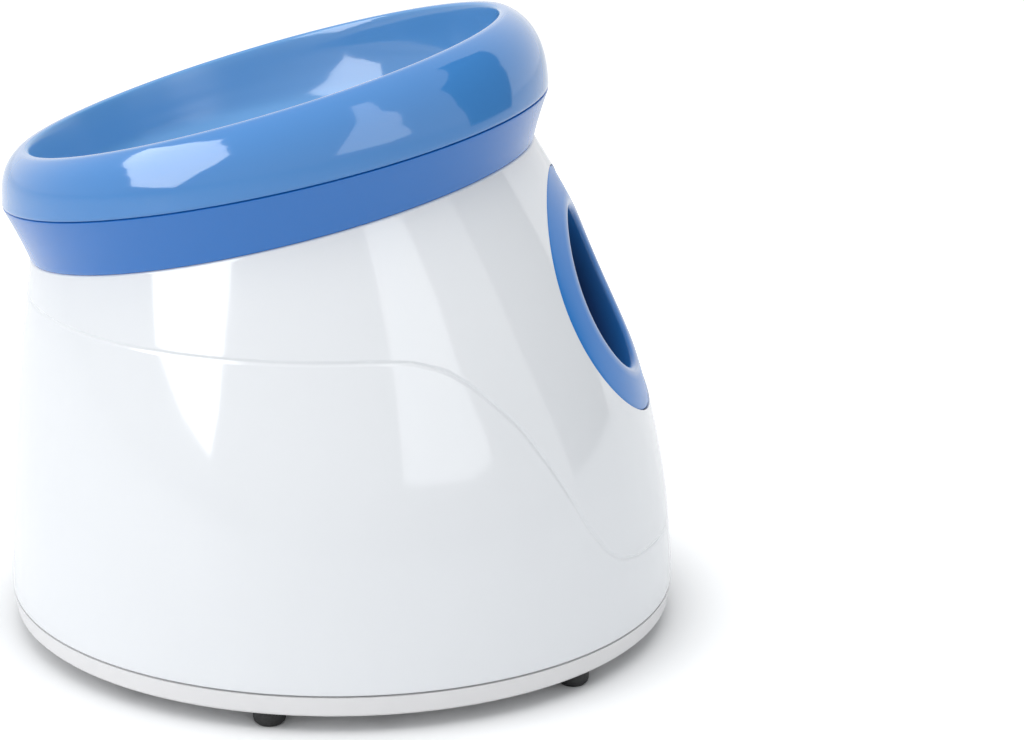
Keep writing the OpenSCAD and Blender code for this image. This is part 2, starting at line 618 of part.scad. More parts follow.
module battery_box() color("darkslategray") difference() {
  translate([-box_in[0] / 2 - box_wall, -box_in[1] / 2 - box_wall, floor_top])
    cube([box_in[0] + 2 * box_wall, box_in[1] + 2 * box_wall, box_in[2] + box_wall]);
  translate([-box_in[0] / 2, -box_in[1] / 2, floor_top - 1])
    cube([box_in[0], box_in[1], box_in[2] + 1]);
}
module battery_cells() color("goldenrod") for (x = rows) for (k = [-1, 0, 1]) {
  cx = x * (cell_d + cell_clear) / 2;
  translate([cx, (k - 0.5) * cell_length, cell_z]) rotate([-90, 0, 0]) {
    cylinder(h = cell_length - 1.6, r = cell_d / 2);
    cylinder(h = cell_length, r = 3.6);
  }
}
module battery_contacts() color("silver") for (x = rows) for (s = [-1, 1]) {
  cx = x * (cell_d + cell_clear) / 2;
  reach = box_in[1] / 2 - 1.5 * cell_length;
  mirror([0, s > 0 ? 0 : 1, 0]) {
    translate([cx - 7, box_in[1] / 2 - 0.5, cell_z - 8]) cube([14, 0.5, 16]);
    translate([cx, 1.5 * cell_length, cell_z]) rotate([-90, 0, 0])
      cylinder(h = reach - 0.5, r = s > 0 ? 3 : 6);
  }
}
module battery_door() color("whitesmoke") difference() {
  translate([-box_in[0] / 2 + gap, -box_in[1] / 2 + gap, z0])
    cube([box_in[0] - 2 * gap, box_in[1] - 2 * gap, door_t]);
  translate([0, -box_in[1] / 2 + 8, z0 - 1]) cylinder(h = 5, r = screw_r + 0.2);
}
module door_screw() color("dimgray") translate([0, -box_in[1] / 2 + 8, z0 - 1.2]) {
  cylinder(h = 1.2, r = 2.8);
  cylinder(h = 1.2 + door_t, r = screw_r);
}

module at_controls(z) on_wall(button_t, control_angle) translate([0, 0, z]) children();
module control_board() color("seagreen") at_controls(-board_depth - board_t) difference() {
  translate([-board_h / 2, -board_l / 2, 0]) cube([board_h, board_l, board_t]);
  for (x = [-1, 1]) for (y = [-1, 1])
    translate([x * post_y, y * post_x, -1]) cylinder(h = 4, r = screw_r + 0.1);
}
module board_screws() color("silver") at_controls(-board_depth - board_t - 1.6)
  for (x = [-1, 1]) for (y = [-1, 1]) translate([x * post_y, y * post_x, 0]) screw_z(2.6, 1.6, board_t + 4);
module board_chips() color("black") at_controls(-board_depth - board_t) {
  translate([-6, -12, -1.6]) cube([10, 8, 1.6]);
  translate([5, 4, -1.2]) cube([6, 5, 1.2]);
  translate([-8, 9, -5]) cylinder(h = 5, r = 3);
}
module button_switch() color("dimgray") at_controls(-board_depth) {
  translate([-3, -3, 0]) cube([6, 6, 4]);
  cylinder(h = board_depth - button_back - button_travel - 0.1, r = 1.7);
}
button_back = wall + 2.7;
module power_button() color("royalblue") at_controls(-button_back) {
  cylinder(h = 1.8, r = button_r + 1.6);
  cylinder(h = button_back + button_travel, r = button_r);
}
module light_pipes() color("honeydew") at_controls(-board_depth) for (y = [-1, 0, 1])
  translate([-button_r - 7, y * 7, 0]) cylinder(h = board_depth - 0.1, r = 1.6);

module dc_jack() color("black") on_wall(jack_t, control_angle) difference() {
  union() {
    translate([-5.5, -4.5, -wall - 13.5]) cube([11, 9, 13.2]);
    translate([0, 0, -wall - 1]) cylinder(h = wall, r = 5.4);
  }
  translate([0, 0, -wall - 10]) cylinder(h = 20, r = 3);
}
module speaker() color("black") translate([speaker_c[0], speaker_c[1], floor_top]) {
  difference() {
    cylinder(h = 5, r = speaker_r);
    translate([0, 0, -1]) cylinder(h = 2.5, r = speaker_r - 2);
  }
  translate([0, 0, 5]) cylinder(h = 6, r = 9);
}
module collar_screws() color("dimgray") on_ring(body_ring(1)) for (a = [45:90:315])
  rotate([0, 0, a]) translate([flange_at, 0, -flange_t - 1.6]) screw_z(2.7, 1.6, 2 * flange_t);
module tray_screws() color("dimgray") for (a = tray_screw_angles) rotate([0, 0, a])
  translate([boss_at, 0, z0 + 1]) screw_z(2.9, 2, 12);

outer_shell();
base_tray();
rubber_feet();
hopper_collar();
hopper_bowl();
port_bezel();
launch_chamber();
chassis_near();
chassis_far();
chassis_pillars();
hammer_arm();
hammer_pad();
hammer_shaft();
hammer_gear();
hammer_spring();
stop_rod();
stop_bumper();
winding_gear();
winding_wheel();
winding_shaft();
reduction_gear();
reduction_shaft();
gearbox_plate();
gearbox_pillars();
motor_can();
motor_shaft();
motor_pinion();
motor_screws();
gearbox_screws();
chassis_screws();
ball_switch();
switch_lever();
battery_box();
battery_cells();
battery_contacts();
battery_door();
door_screw();
control_board();
board_chips();
button_switch();
power_button();
light_pipes();
dc_jack();
speaker();
collar_screws();
tray_screws();
board_screws();
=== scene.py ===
import json
import math

import bmesh
import bpy
import numpy as np
from bpy.props import FloatProperty, FloatVectorProperty, IntProperty, PointerProperty
from mathutils import Matrix, Vector
from mathutils.bvhtree import BVHTree
from mathutils.interpolate import poly_3d_calc


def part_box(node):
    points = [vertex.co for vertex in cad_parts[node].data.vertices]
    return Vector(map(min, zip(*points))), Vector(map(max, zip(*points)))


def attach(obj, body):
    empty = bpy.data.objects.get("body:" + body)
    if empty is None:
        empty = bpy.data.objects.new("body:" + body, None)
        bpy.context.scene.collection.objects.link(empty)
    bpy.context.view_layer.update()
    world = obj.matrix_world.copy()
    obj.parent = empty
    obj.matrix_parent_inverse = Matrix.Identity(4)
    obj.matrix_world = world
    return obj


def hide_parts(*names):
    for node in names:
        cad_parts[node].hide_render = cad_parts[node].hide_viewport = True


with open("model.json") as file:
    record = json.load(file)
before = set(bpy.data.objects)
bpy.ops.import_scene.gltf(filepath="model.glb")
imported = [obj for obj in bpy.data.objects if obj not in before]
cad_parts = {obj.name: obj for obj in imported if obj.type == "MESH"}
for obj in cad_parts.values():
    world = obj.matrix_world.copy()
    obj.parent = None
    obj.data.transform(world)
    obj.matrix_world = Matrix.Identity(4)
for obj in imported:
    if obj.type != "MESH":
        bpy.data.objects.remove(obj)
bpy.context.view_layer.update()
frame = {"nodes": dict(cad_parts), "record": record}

bl_info = {
    "name": "Ball Launcher Dressing",
    "version": (1, 0, 0),
    "blender": (4, 5, 0),
    "location": "3D View > Sidebar > Launcher",
    "description": "Dresses the packed frame of a tabletop ball launcher",
    "category": "Object",
}

# ---------------------------------------------------------------- sizes and colours

MM = 0.001


def length(name, text, value, low, high):
    return FloatProperty(name=name, description=text, default=value, min=low, max=high,
                         subtype="DISTANCE", unit="LENGTH", precision=5)


def colour(name, text, value):
    return FloatVectorProperty(name=name, description=text, default=value, min=0.0, max=1.0,
                               size=3, subtype="COLOR")


class LauncherSizes(bpy.types.PropertyGroup):
    """Sizes of the visible mouldings."""
    crease_depth: length("Crease depth", "Step of the moulded line round the shell", 0.0005, 0, 0.002)
    crease_width: length("Crease width", "Width of the step of the moulded line", 0.0021, 0.0005, 0.006)
    edge_round: length("Edge rounding", "Rounding of the mouldings' outer edges", 0.0006, 0.0001, 0.0015)
    lip_round: length("Port lip rounding", "Rounding of the port ring's inner edge", 0.0026, 0.0005, 0.004)
    spring_wire: length("Spring wire", "Wire thickness of the hammer's torsion spring", 0.0013, 0.0005, 0.002)
    columns: IntProperty(name="Columns", description="Facets round the mouldings", default=240,
                         min=64, max=512)


class LauncherColours(bpy.types.PropertyGroup):
    """Colours of the finishes."""
    shell: colour("Shell", "Glossy white of the shell", (0.84, 0.855, 0.875))
    tray: colour("Tray", "White of the bottom tray", (0.82, 0.81, 0.81))
    bowl: colour("Bowl", "Blue of the bowl and its rim", (0.052, 0.24, 0.60))
    collar: colour("Collar", "Blue of the collar", (0.018, 0.175, 0.56))
    port: colour("Port ring", "Blue of the port ring", (0.016, 0.20, 0.60))


# ---------------------------------------------------------------- shapes of the mouldings

# The solids' own sizes in millimetres, with tilts and angles in degrees. A name that ends in _T is
# a height on the shell, from 0 at its foot to 1 at its top.
Z0 = 5.5
BASE_R = 112.8
TOP_R = 85.6
TOP_C = np.array([-20.0, Z0 + 138.3])
BULGE = 2.06
WALL = 2.6
SEAM_Z = 12.7
FLANGE_W = 9.0
FLANGE_H = 3.0
TOP_TILT, RIM_TILT, CREST_TILT = 13.6, 12.24, 16.28
COLLAR_H = 17.7
COLLAR_SHIFT = 2.0
COLLAR_FLARE = 6.3
CREST_H = 21.1
CREST_SHIFT = 4.1
CREST_R = 82.5
RIM_SWELL = 9.4
RIM_SCREW_R = 80.1
THROAT_X = -11.48
THROAT_TOP = 128.0
THROAT_END = 120.0
THROAT_R = 29.5
BOWL_SKIN = 2.4
LAUNCH_ANGLE = 24
PORT_T = 0.7
PORT_R = 43.4
PORT_SINK = 0.3
RING_R = 46.8
BARREL_R = 28.5
BARREL_DEPTH = 22.0
SLEEVE_R = 31.0
CONTROL_ANGLE = 150.0
BUTTON_T = 0.42
JACK_T = 0.17
BUTTON_R = 10.0
BUTTON_GAP = 0.4
GUIDE_PLACES = [(-17, y, 0) for y in (-7, 0, 7)]
POST_PLACES = [(x, y, 0) for x in (-14, 14) for y in (-14, 14)]
BOSS_PLACES = [(102.8, degrees) for degrees in (20, 75, 122, -20, -75, -122)]

# Frames and places worked out from them.
LEAN = math.radians(TOP_TILT)
TOP_DIR = np.array([math.cos(LEAN), math.sin(LEAN)])
TOP_RIGHT = TOP_C + TOP_R * TOP_DIR
TOP_LEFT = TOP_C - TOP_R * TOP_DIR
RIM_AXIS = (-math.sin(LEAN), 0.0, math.cos(LEAN))
RIM_FRAME = Matrix.Translation((TOP_C[0], 0, TOP_C[1])) @ Matrix.Rotation(-LEAN, 4, "Y")


def angles_round(columns):
    """Angles of the columns round a closed shape."""
    return np.linspace(0, 2 * math.pi, columns, endpoint=False)


def body_ring(t):
    """Centre x, centre z, radius and tilt of the shell's ring at height t, as arrays."""
    t = np.asarray(t, float)
    rx = BASE_R - (BASE_R - TOP_RIGHT[0]) * t ** BULGE
    rz = Z0 + (TOP_RIGHT[1] - Z0) * t
    lx = -BASE_R + (BASE_R + TOP_LEFT[0]) * t ** BULGE
    lz = Z0 + (TOP_LEFT[1] - Z0) * t
    return (rx + lx) / 2, (rz + lz) / 2, np.hypot(rx - lx, rz - lz) / 2, np.arctan2(rz - lz, rx - lx)


def wall_point(t, a, inset=0.0):
    """Point of the shell at height t and angle a, moved inwards by inset millimetres."""
    cx, cz, r, tilt = body_ring(t)
    r = r - inset
    a = np.asarray(a, float)
    return np.stack([cx + r * np.cos(a) * np.cos(tilt), r * np.sin(a) + 0 * cx,
                     cz + r * np.cos(a) * np.sin(tilt)], -1)


def first_over(low, high, shape, over):
    """The values between low and high at which a test turns true, one for each place of an array."""
    low, high = np.full(shape, low), np.full(shape, high)
    for _ in range(34):
        middle = (low + high) / 2
        past = over(middle)
        high = np.where(past, middle, high)
        low = np.where(past, low, middle)
    return (low + high) / 2


def height_at(z, a):
    """Height t of the shell's point at angle a whose z is given; under its foot it goes straight down."""
    z, a = np.broadcast_arrays(np.asarray(z, float), np.asarray(a, float))
    below = 140.0
    return first_over(-0.05, 1.05, z.shape, lambda t: wall_point(np.maximum(t, 0), a)[..., 2]
                      + np.minimum(t, 0) * below > z)


def wall_gap(points, inset):
    """How far points lie outside the shell's skin that is moved inwards by inset."""
    x, y, z = points[..., 0], points[..., 1], points[..., 2]

    def ring_is_over(t):
        cx, cz, _, tilt = body_ring(t)
        return -(x - cx) * np.sin(tilt) + (z - cz) * np.cos(tilt) <= 0

    cx, cz, r, tilt = body_ring(first_over(0.0, 1.25, x.shape, ring_is_over))
    u = (x - cx) * np.cos(tilt) + (z - cz) * np.sin(tilt)
    return np.hypot(u, y) - (r - inset)


def wall_frame(t, degrees):
    """Matrix in millimetres that puts local z along the shell's outward direction."""
    a = math.radians(degrees)
    p = wall_point(t, a)
    across = wall_point(t, a + math.radians(1)) - wall_point(t, a - math.radians(1))
    up = wall_point(t + 0.01, a) - wall_point(t - 0.01, a)
    n = Vector(np.cross(across, up)).normalized()
    turn = Matrix.Rotation(math.atan2(n.y, n.x), 4, "Z") @ Matrix.Rotation(math.acos(n.z), 4, "Y")
    return Matrix.Translation(Vector(p)) @ turn


# The launch line: it leaves the shell's right side at PORT_T of its height.
PORT_C = np.array([BASE_R - (BASE_R - TOP_RIGHT[0]) * PORT_T ** BULGE, 0.0,
                   Z0 + (TOP_RIGHT[1] - Z0) * PORT_T])
RISE = math.radians(LAUNCH_ANGLE)
AIM = np.array([math.cos(RISE), 0.0, math.sin(RISE)])
AIM_UP = np.array([-math.sin(RISE), 0.0, math.cos(RISE)])
AIM_FRAME = Matrix.Translation(Vector(PORT_C)) @ Matrix.Rotation(math.pi / 2 - RISE, 4, "Y")


def aim_point(rho, phi, along):
    """Point at radius rho and angle phi round the launch line, and along it from the port."""
    rho, phi, along = np.broadcast_arrays(rho, phi, along)
    return (PORT_C + along[..., None] * AIM + (rho * np.sin(phi))[..., None] * AIM_UP
            + (rho * np.cos(phi))[..., None] * np.array([0.0, 1.0, 0.0]))


def aim_depth(rho, phi, inset):
    """Distance along the launch line at which the inset skin is met."""
    rho, phi = np.broadcast_arrays(np.asarray(rho, float), np.asarray(phi, float))
    return first_over(-45.0, 45.0, rho.shape, lambda x: wall_gap(aim_point(rho, phi, x), inset) > 0)


def collar_ring(v, r):
    """Centre x, centre z, radius and tilt of a ring at height v of the collar."""
    return np.array([TOP_C[0] - COLLAR_SHIFT * v, TOP_C[1] + COLLAR_H * v, r,
                     TOP_TILT + (RIM_TILT - TOP_TILT) * v])


def rim_ring(u, r):
    """The same for a ring at height u of the bowl's rim."""
    return np.array([TOP_C[0] - COLLAR_SHIFT - CREST_SHIFT * u * u, TOP_C[1] + COLLAR_H + CREST_H * u, r,
                     RIM_TILT + (CREST_TILT - RIM_TILT) * u])


def rim_radius(u):
    """Outer radius of the rim at its height u."""
    return CREST_R + RIM_SWELL * (1 - u ** 3.2) ** 0.75


def collar_radius(v):
    """Outer radius of the collar at its height v."""
    return TOP_R + COLLAR_FLARE * v ** 1.2


def lowered(ring, d):
    """A ring moved down by d."""
    return ring - np.array([0, d, 0, 0])


def ring_grid(rings, columns):
    """Rows of points through rings of centre x, centre z, radius and tilt in degrees."""
    a = angles_round(columns)
    r = np.array(rings)
    tilt = np.radians(r[:, 3])[:, None]
    return np.stack([r[:, 0:1] + r[:, 2:3] * np.cos(a) * np.cos(tilt), r[:, 2:3] * np.sin(a),
                     r[:, 1:2] + r[:, 2:3] * np.cos(a) * np.sin(tilt)], -1)


def smooth_rings(rings, steps):
    """More rings between the given ones, on a smooth curve through them."""
    r = np.array(rings)
    p = np.vstack([2 * r[0] - r[1], r, 2 * r[-1] - r[-2]])
    out = []
    for i in range(1, len(p) - 2):
        for k in range(steps):
            w = k / steps
            out.append(0.5 * (2 * p[i] + (p[i + 1] - p[i - 1]) * w
                              + (2 * p[i - 1] - 5 * p[i] + 4 * p[i + 1] - p[i + 2]) * w ** 2
                              + (3 * p[i] - p[i - 1] - 3 * p[i + 1] + p[i + 2]) * w ** 3))
    out.append(r[-1])
    return out


# ---------------------------------------------------------------- mesh tools

def grid_faces(rows, columns, loop):
    """Quads between rows of a grid whose columns close on themselves."""
    faces = []
    for j in range(rows if loop else rows - 1):
        a, b = j * columns, (j + 1) % rows * columns
        for i in range(columns):
            k = (i + 1) % columns
            faces.append((a + i, a + k, b + k, b + i))
    return faces


def capped_faces(rows, columns):
    """The same quads for an open grid, with a flat face at each end."""
    ends = [tuple(range(columns)), tuple(range((rows - 1) * columns, rows * columns))]
    return grid_faces(rows, columns, False) + ends


def mesh_object(name, points, faces):
    """An object in the scene, from points in millimetres."""
    mesh = bpy.data.meshes.new(name)
    mesh.from_pydata((np.asarray(points).reshape(-1, 3) * MM).tolist(), [], faces)
    made = bpy.data.objects.new(name, mesh)
    bpy.context.scene.collection.objects.link(made)
    return made


def finish_mesh(made, sharp=35.0, clean=True):
    """Outward faces, smooth shading and sharp edges where faces meet steeply."""
    work = bmesh.new()
    work.from_mesh(made.data)
    if clean:
        bmesh.ops.remove_doubles(work, verts=work.verts, dist=1e-7)
        bmesh.ops.recalc_face_normals(work, faces=work.faces)
    for face in work.faces:
        face.smooth = True
    limit = math.radians(sharp)
    for edge in work.edges:
        edge.smooth = len(edge.link_faces) == 2 and edge.calc_face_angle(0) < limit
    work.to_mesh(made.data)
    work.free()
    made.data.update()


def turned(profile, columns, matrix=None):
    """Points and faces of a profile of (radius, height) turned about local z and closed."""
    a = angles_round(columns)
    p = np.array(profile, float)
    pts = np.stack([p[:, 0:1] * np.cos(a), p[:, 0:1] * np.sin(a), p[:, 1:2] + 0 * a], -1)
    pts = pts.reshape(-1, 3)
    if matrix is not None:
        m = np.array(matrix)
        pts = pts @ m[:3, :3].T + m[:3, 3]
    return pts, grid_faces(len(profile), columns, True)


def solid_turn(profile, columns, matrix=None):
    """A turned profile whose first and last points are closed by flat fans."""
    return turned(profile, columns, matrix)[0], capped_faces(len(profile), columns)


def bore(matrix, x, y, r, low, high, sides=48):
    """A cylinder to cut with, along local z of a frame."""
    return solid_turn([(r, low), (r, high)], sides, matrix @ Matrix.Translation((x, y, 0)))


def rim_bores(r, low, high):
    """Bores for the four screws that hold the collar to the shell."""
    turns = [math.radians(k) for k in (45, 135, 225, 315)]
    return [bore(RIM_FRAME, RIM_SCREW_R * math.cos(c), RIM_SCREW_R * math.sin(c), r, low, high, 24)
            for c in turns]


def joined(parts):
    """One list of points and faces from several."""
    pts, faces, base = [], [], 0
    for p, f in parts:
        pts.append(np.asarray(p).reshape(-1, 3))
        faces += [tuple(i + base for i in face) for face in f]
        base += len(pts[-1])
    return np.vstack(pts), faces


def placed(shape, columns):
    """A shape's points moved by three axes and a place, all as columns of a 3 x 4 array."""
    pts, faces = shape
    return np.asarray(pts).reshape(-1, 3) @ columns[:, :3].T + columns[:, 3], faces


def slab(low, high, corner, edge):
    """A box with round upright corners and softened top and bottom edges."""
    middle, half = (low + high) / 2, (high - low) / 2
    turns = np.radians(np.arange(0, 360, 15) + 7.5)
    side = np.stack([np.sign(np.cos(turns)), np.sign(np.sin(turns))], -1)
    way = np.stack([np.cos(turns), np.sin(turns)], -1)
    rows = []
    for z, inset in ((low[2], edge), (low[2] + edge * 0.3, edge * 0.3), (low[2] + edge, 0),
                     (high[2] - edge, 0), (high[2] - edge * 0.3, edge * 0.3), (high[2], edge)):
        flat = middle[:2] + side * (half[:2] - corner) + way * (corner - inset)
        rows.append(np.hstack([flat, np.full((len(flat), 1), z)]))
    n = len(turns)
    return np.vstack(rows), capped_faces(len(rows), n)


def loose_parts(node):
    """Points in millimetres of each separate solid of a frame's node."""
    pts = np.array([tuple(node.matrix_world @ v.co) for v in node.data.vertices]) / MM
    _, same = np.unique(np.round(pts, 3), axis=0, return_inverse=True)
    same = same.reshape(-1)
    edges = same[np.array([tuple(e.vertices) for e in node.data.edges])]
    group = np.arange(same.max() + 1)
    while True:
        low = np.minimum(group[edges[:, 0]], group[edges[:, 1]])
        fresh = group.copy()
        np.minimum.at(fresh, edges[:, 0], low)
        np.minimum.at(fresh, edges[:, 1], low)
        if (fresh == group).all():
            break
        group = fresh
    return [pts[group[same] == k] for k in np.unique(group)]


def screw(pts, axis):
    """A pan-head screw with thread, and the cross to cut in its head, where a plain one stands."""
    axis = np.array(axis, float) / np.linalg.norm(axis)
    side = np.cross(axis, (1.0, 0, 0) if abs(axis[0]) < 0.9 else (0, 1.0, 0))
    side /= np.linalg.norm(side)
    other = np.cross(axis, side)
    along, x, y = pts @ axis, pts @ side, pts @ other
    cx, cy = (x.max() + x.min()) / 2, (y.max() + y.min()) / 2
    radius = np.hypot(x - cx, y - cy)
    head_r, near = radius.max(), 0.01
    head = along[radius > head_r - 0.15]
    down = 1.0 if abs(head.min() - along.min()) < near else -1.0
    start = along.min() if down > 0 else along.max()
    head_h, total = np.ptp(head), np.ptp(along)
    core = radius[np.abs(along - start) > total - near].max()
    profile = [(head_r * 0.6, 0), (head_r * 0.84, head_h * 0.12), (head_r * 0.96, head_h * 0.36),
               (head_r, head_h * 0.7), (head_r, head_h * 0.94), (head_r * 0.97, head_h), (core, head_h)]
    root, pitch, point = core * 0.84, 0.7, 0.4
    z = head_h + point
    while z < total - 2 * pitch:
        profile += [(root, z), (core, z + pitch / 2)]
        z += pitch
    profile += [(root, z), (core * 0.8, total - point), (core * 0.45, total)]
    arm, width, rows = head_r * 0.56, head_r * 0.14, []
    for scale, depth in ((1.04, -0.3), (1.0, 0.0), (0.66, head_h * 0.7)):
        a, w = arm * scale, width * scale
        rows.append([(px, py, depth) for px, py in (
            (w, -a), (w, -w), (a, -w), (a, w), (w, w), (w, a),
            (-w, a), (-w, w), (-a, w), (-a, -w), (-w, -w), (-w, -a))])
    cross = np.array(rows), capped_faces(len(rows), len(rows[0]))
    turn = np.stack([side, other, axis * down, side * cx + other * cy + axis * start], 1)
    return placed(solid_turn(profile, 28), turn), placed(cross, turn)


def closed_mesh(name, grid, sharp=35.0):
    """A closed piece from rows of points that come back to the first row."""
    made = mesh_object(name, grid, grid_faces(*grid.shape[:2], True))
    finish_mesh(made, sharp)
    return made


def cut(made, parts, sharp=35.0):
    """Cuts closed shapes out of an object."""
    pts, faces = joined(parts)
    tool = mesh_object("cutter", pts, faces)
    finish_mesh(tool)
    step = made.modifiers.new("cut", "BOOLEAN")
    step.operation = "DIFFERENCE"
    step.solver = "EXACT"
    step.object = tool
    bpy.context.view_layer.update()
    ready = made.evaluated_get(bpy.context.evaluated_depsgraph_get())
    result = bpy.data.meshes.new_from_object(ready)
    made.modifiers.clear()
    old = made.data
    made.data = result
    result.name = old.name
    bpy.data.meshes.remove(old)
    used = tool.data
    bpy.data.objects.remove(tool)
    bpy.data.meshes.remove(used)
    finish_mesh(made, sharp, clean=False)


def mark(made, name, share, columns):
    """Writes a value from 0 to 1 on each row of a piece's grid, for its finish to read."""
    mask = made.data.attributes.new(name, "FLOAT", "POINT")
    mask.data.foreach_set("value", np.repeat(share, columns))


def take_normals(made, grid, normals):
    """Gives faces that lie on a smooth grid the grid's own normals."""
    faces = grid_faces(*grid.shape[:2], False)
    flat = [Vector(p) for p in (grid.reshape(-1, 3) * MM).tolist()]
    bend = normals.reshape(-1, 3)
    tree = BVHTree.FromPolygons(flat, faces)
    mesh = made.data
    found = []
    for vertex in mesh.vertices:
        place, _, index, distance = tree.find_nearest(vertex.co)
        if index is None or distance > 0.04 * MM:
            found.append(None)
            continue
        corner = faces[index]
        weights = poly_3d_calc([flat[c] for c in corner], place)
        found.append(Vector(sum(w * bend[c] for w, c in zip(weights, corner))).normalized())
    custom = [(0.0, 0.0, 0.0)] * len(mesh.loops)
    for face in mesh.polygons:
        for k in face.loop_indices:
            n = found[mesh.loops[k].vertex_index]
            if n is not None and n.dot(face.normal) > 0.93:
                custom[k] = tuple(n)
    mesh.normals_split_custom_set(custom)


# ---------------------------------------------------------------- finishes

class Signal:
    """A node's output that can stand in a Python expression."""

    def __init__(self, finish, socket):
        self.finish = finish
        self.socket = socket

    def _math(self, operation, first, second):
        return self.finish.node("ShaderNodeMath", {"operation": operation}, {0: first, 1: second})

    def __add__(self, other):
        return self._math("ADD", self, other)

    def __radd__(self, other):
        return self._math("ADD", other, self)

    def __sub__(self, other):
        return self._math("SUBTRACT", self, other)

    def __rsub__(self, other):
        return self._math("SUBTRACT", other, self)

    def __mul__(self, other):
        return self._math("MULTIPLY", self, other)

    def __gt__(self, other):
        return self._math("GREATER_THAN", self, other)

    def __lt__(self, other):
        return self._math("LESS_THAN", self, other)

    def __mod__(self, other):
        return self._math("FLOORED_MODULO", self, other)


class Finish:
    """A material, or the world, made of nodes."""

    def __init__(self, name, world=None):
        self.material = world or bpy.data.materials.get(name) or bpy.data.materials.new(name)
        self.material.use_nodes = True
        self.tree = self.material.node_tree
        self.tree.nodes.clear()

    def node(self, kind, settings=None, inputs=None, output=0):
        """Adds a node, sets it up, fills its sockets and returns the output as a Signal."""
        made = self.tree.nodes.new(kind)
        for key, value in (settings or {}).items():
            setattr(made, key, value)
        for key, value in (inputs or {}).items():
            if isinstance(value, Signal):
                self.tree.links.new(value.socket, made.inputs[key])
            else:
                made.inputs[key].default_value = value
        return Signal(self, made.outputs[output]) if made.outputs else None

    def place(self):
        """Object coordinates in metres, which ride with the piece."""
        return self.node("ShaderNodeTexCoord", output="Object")

    def along(self, axis):
        """One of the object coordinates: X, Y or Z."""
        return self.node("ShaderNodeSeparateXYZ", None, {0: self.place()}, output=axis)

    def marked(self, name):
        """A value that was marked on the mesh."""
        return self.node("ShaderNodeAttribute", {"attribute_name": name}, output="Fac")

    def noise(self, scale, detail=2.0, rough=0.5, vector=None):
        return self.node("ShaderNodeTexNoise", None,
                         {"Vector": vector or self.place(), "Scale": scale, "Detail": detail,
                          "Roughness": rough})

    def spread(self, value, low, high, to_low=0.0, to_high=1.0):
        return self.node("ShaderNodeMapRange", {"clamp": True},
                         {"Value": value, "From Min": low, "From Max": high, "To Min": to_low,
                          "To Max": to_high})

    def patches(self, scale, detail=2.0, rough=0.5, low=0.3, high=0.7, to_low=0.0, to_high=1.0):
        """Soft patches of noise, from one value to another."""
        return self.spread(self.noise(scale, detail, rough), low, high, to_low, to_high)

    def mixed(self, factor, first, second):
        pair = {0: factor}
        for key, value in ((6, first), (7, second)):
            pair[key] = value if isinstance(value, Signal) else (*value, 1)
        return self.node("ShaderNodeMix", {"data_type": "RGBA"}, pair, output=2)

    def drifting(self, factor, rgb, mottle):
        """A colour that goes a little darker and lighter."""
        return self.mixed(factor, shade(rgb, 1 - mottle), shade(rgb, 1 + mottle))

    def bump(self, height, distance):
        return self.node("ShaderNodeBump", None, {"Height": height, "Distance": distance}, output="Normal")

    def output(self, surface, kind="Material"):
        self.node("ShaderNodeOutput" + kind, None, {"Surface": surface})
        return self.material

    def surface(self, sockets):
        return self.output(self.node("ShaderNodeBsdfPrincipled", None, sockets))


# Depth of the finest surface relief, in metres, and the noise scales of the gloss plastics.
SKIN = 0.00001
DRIFT, UNEVEN, RIPPLE = 9.0, 30.0, 26.0


def shade(rgb, factor):
    return tuple(min(1.0, c * factor) for c in rgb)


def moulded(name, rgb, rough, coat=0.0, peel=SKIN, mottle=0.03):
    """Moulded plastic: slow colour drift, uneven gloss and a fine skin."""
    f = Finish(name)
    tone = f.drifting(f.patches(14.0, 3.0, low=0.35, high=0.65), rgb, mottle)
    gloss = f.patches(42.0, 4.0, 0.6, to_low=rough * 0.8, to_high=rough * 1.25)
    return f.surface({"Base Color": tone, "Roughness": gloss, "IOR": 1.49, "Coat Weight": coat,
                      "Coat Roughness": 0.03, "Normal": f.bump(f.noise(900.0), peel)})


def glossy(name, rgb, rough, coat, wave=SKIN, mottle=0.015):
    """High-gloss plastic: a long soft ripple under a clear skin, with faint dust."""
    f = Finish(name)
    tone = f.drifting(f.patches(DRIFT), rgb, mottle)
    dust = f.patches(260.0, 4.0, 0.7, 0.62, 0.8)
    gloss = f.patches(UNEVEN, 3.0, to_low=rough * 0.85, to_high=rough * 1.2) + dust * 0.04
    return f.surface({"Base Color": tone, "Roughness": gloss, "IOR": 1.5, "Coat Weight": coat,
                      "Coat Roughness": 0.02, "Normal": f.bump(f.noise(RIPPLE, 1.0), wave)})


def bowl_plastic(name, rgb):
    """High-gloss blue outside and on the crest; the inside has painted light, a lighter colour than the
    outside, and is rubbed to satin by balls.
    """
    f = Finish(name)
    inside = f.marked("inside")
    drift = f.patches(DRIFT)
    # Painted light: the inside's colour is made lighter than the outside's, to stand in for the light that
    # falls into the bowl.
    painted_light_low, painted_light_high = np.array(rgb) * (2.2, 1.36, 1.05), np.array(rgb) * (2.7, 1.5, 1.12)
    lit_inside_tone = f.mixed(drift, tuple(painted_light_low), tuple(painted_light_high))
    rubbed = f.patches(55.0, 5.0, 0.65, 0.45, 0.75)
    low_side = f.spread(f.along("X"), -0.010, -0.045)
    gloss = f.patches(UNEVEN, 3.0, to_low=0.082, to_high=0.1)
    return f.surface({"Base Color": f.mixed(inside, f.drifting(drift, rgb, 0.03), lit_inside_tone),
                      "Roughness": gloss + inside * (low_side * 0.13 + rubbed * 0.03), "IOR": 1.5,
                      "Coat Weight": 0.5 - inside * (0.1 + low_side * 0.4), "Coat Roughness": 0.02,
                      "Normal": f.bump(f.noise(RIPPLE, 1.0), SKIN)})


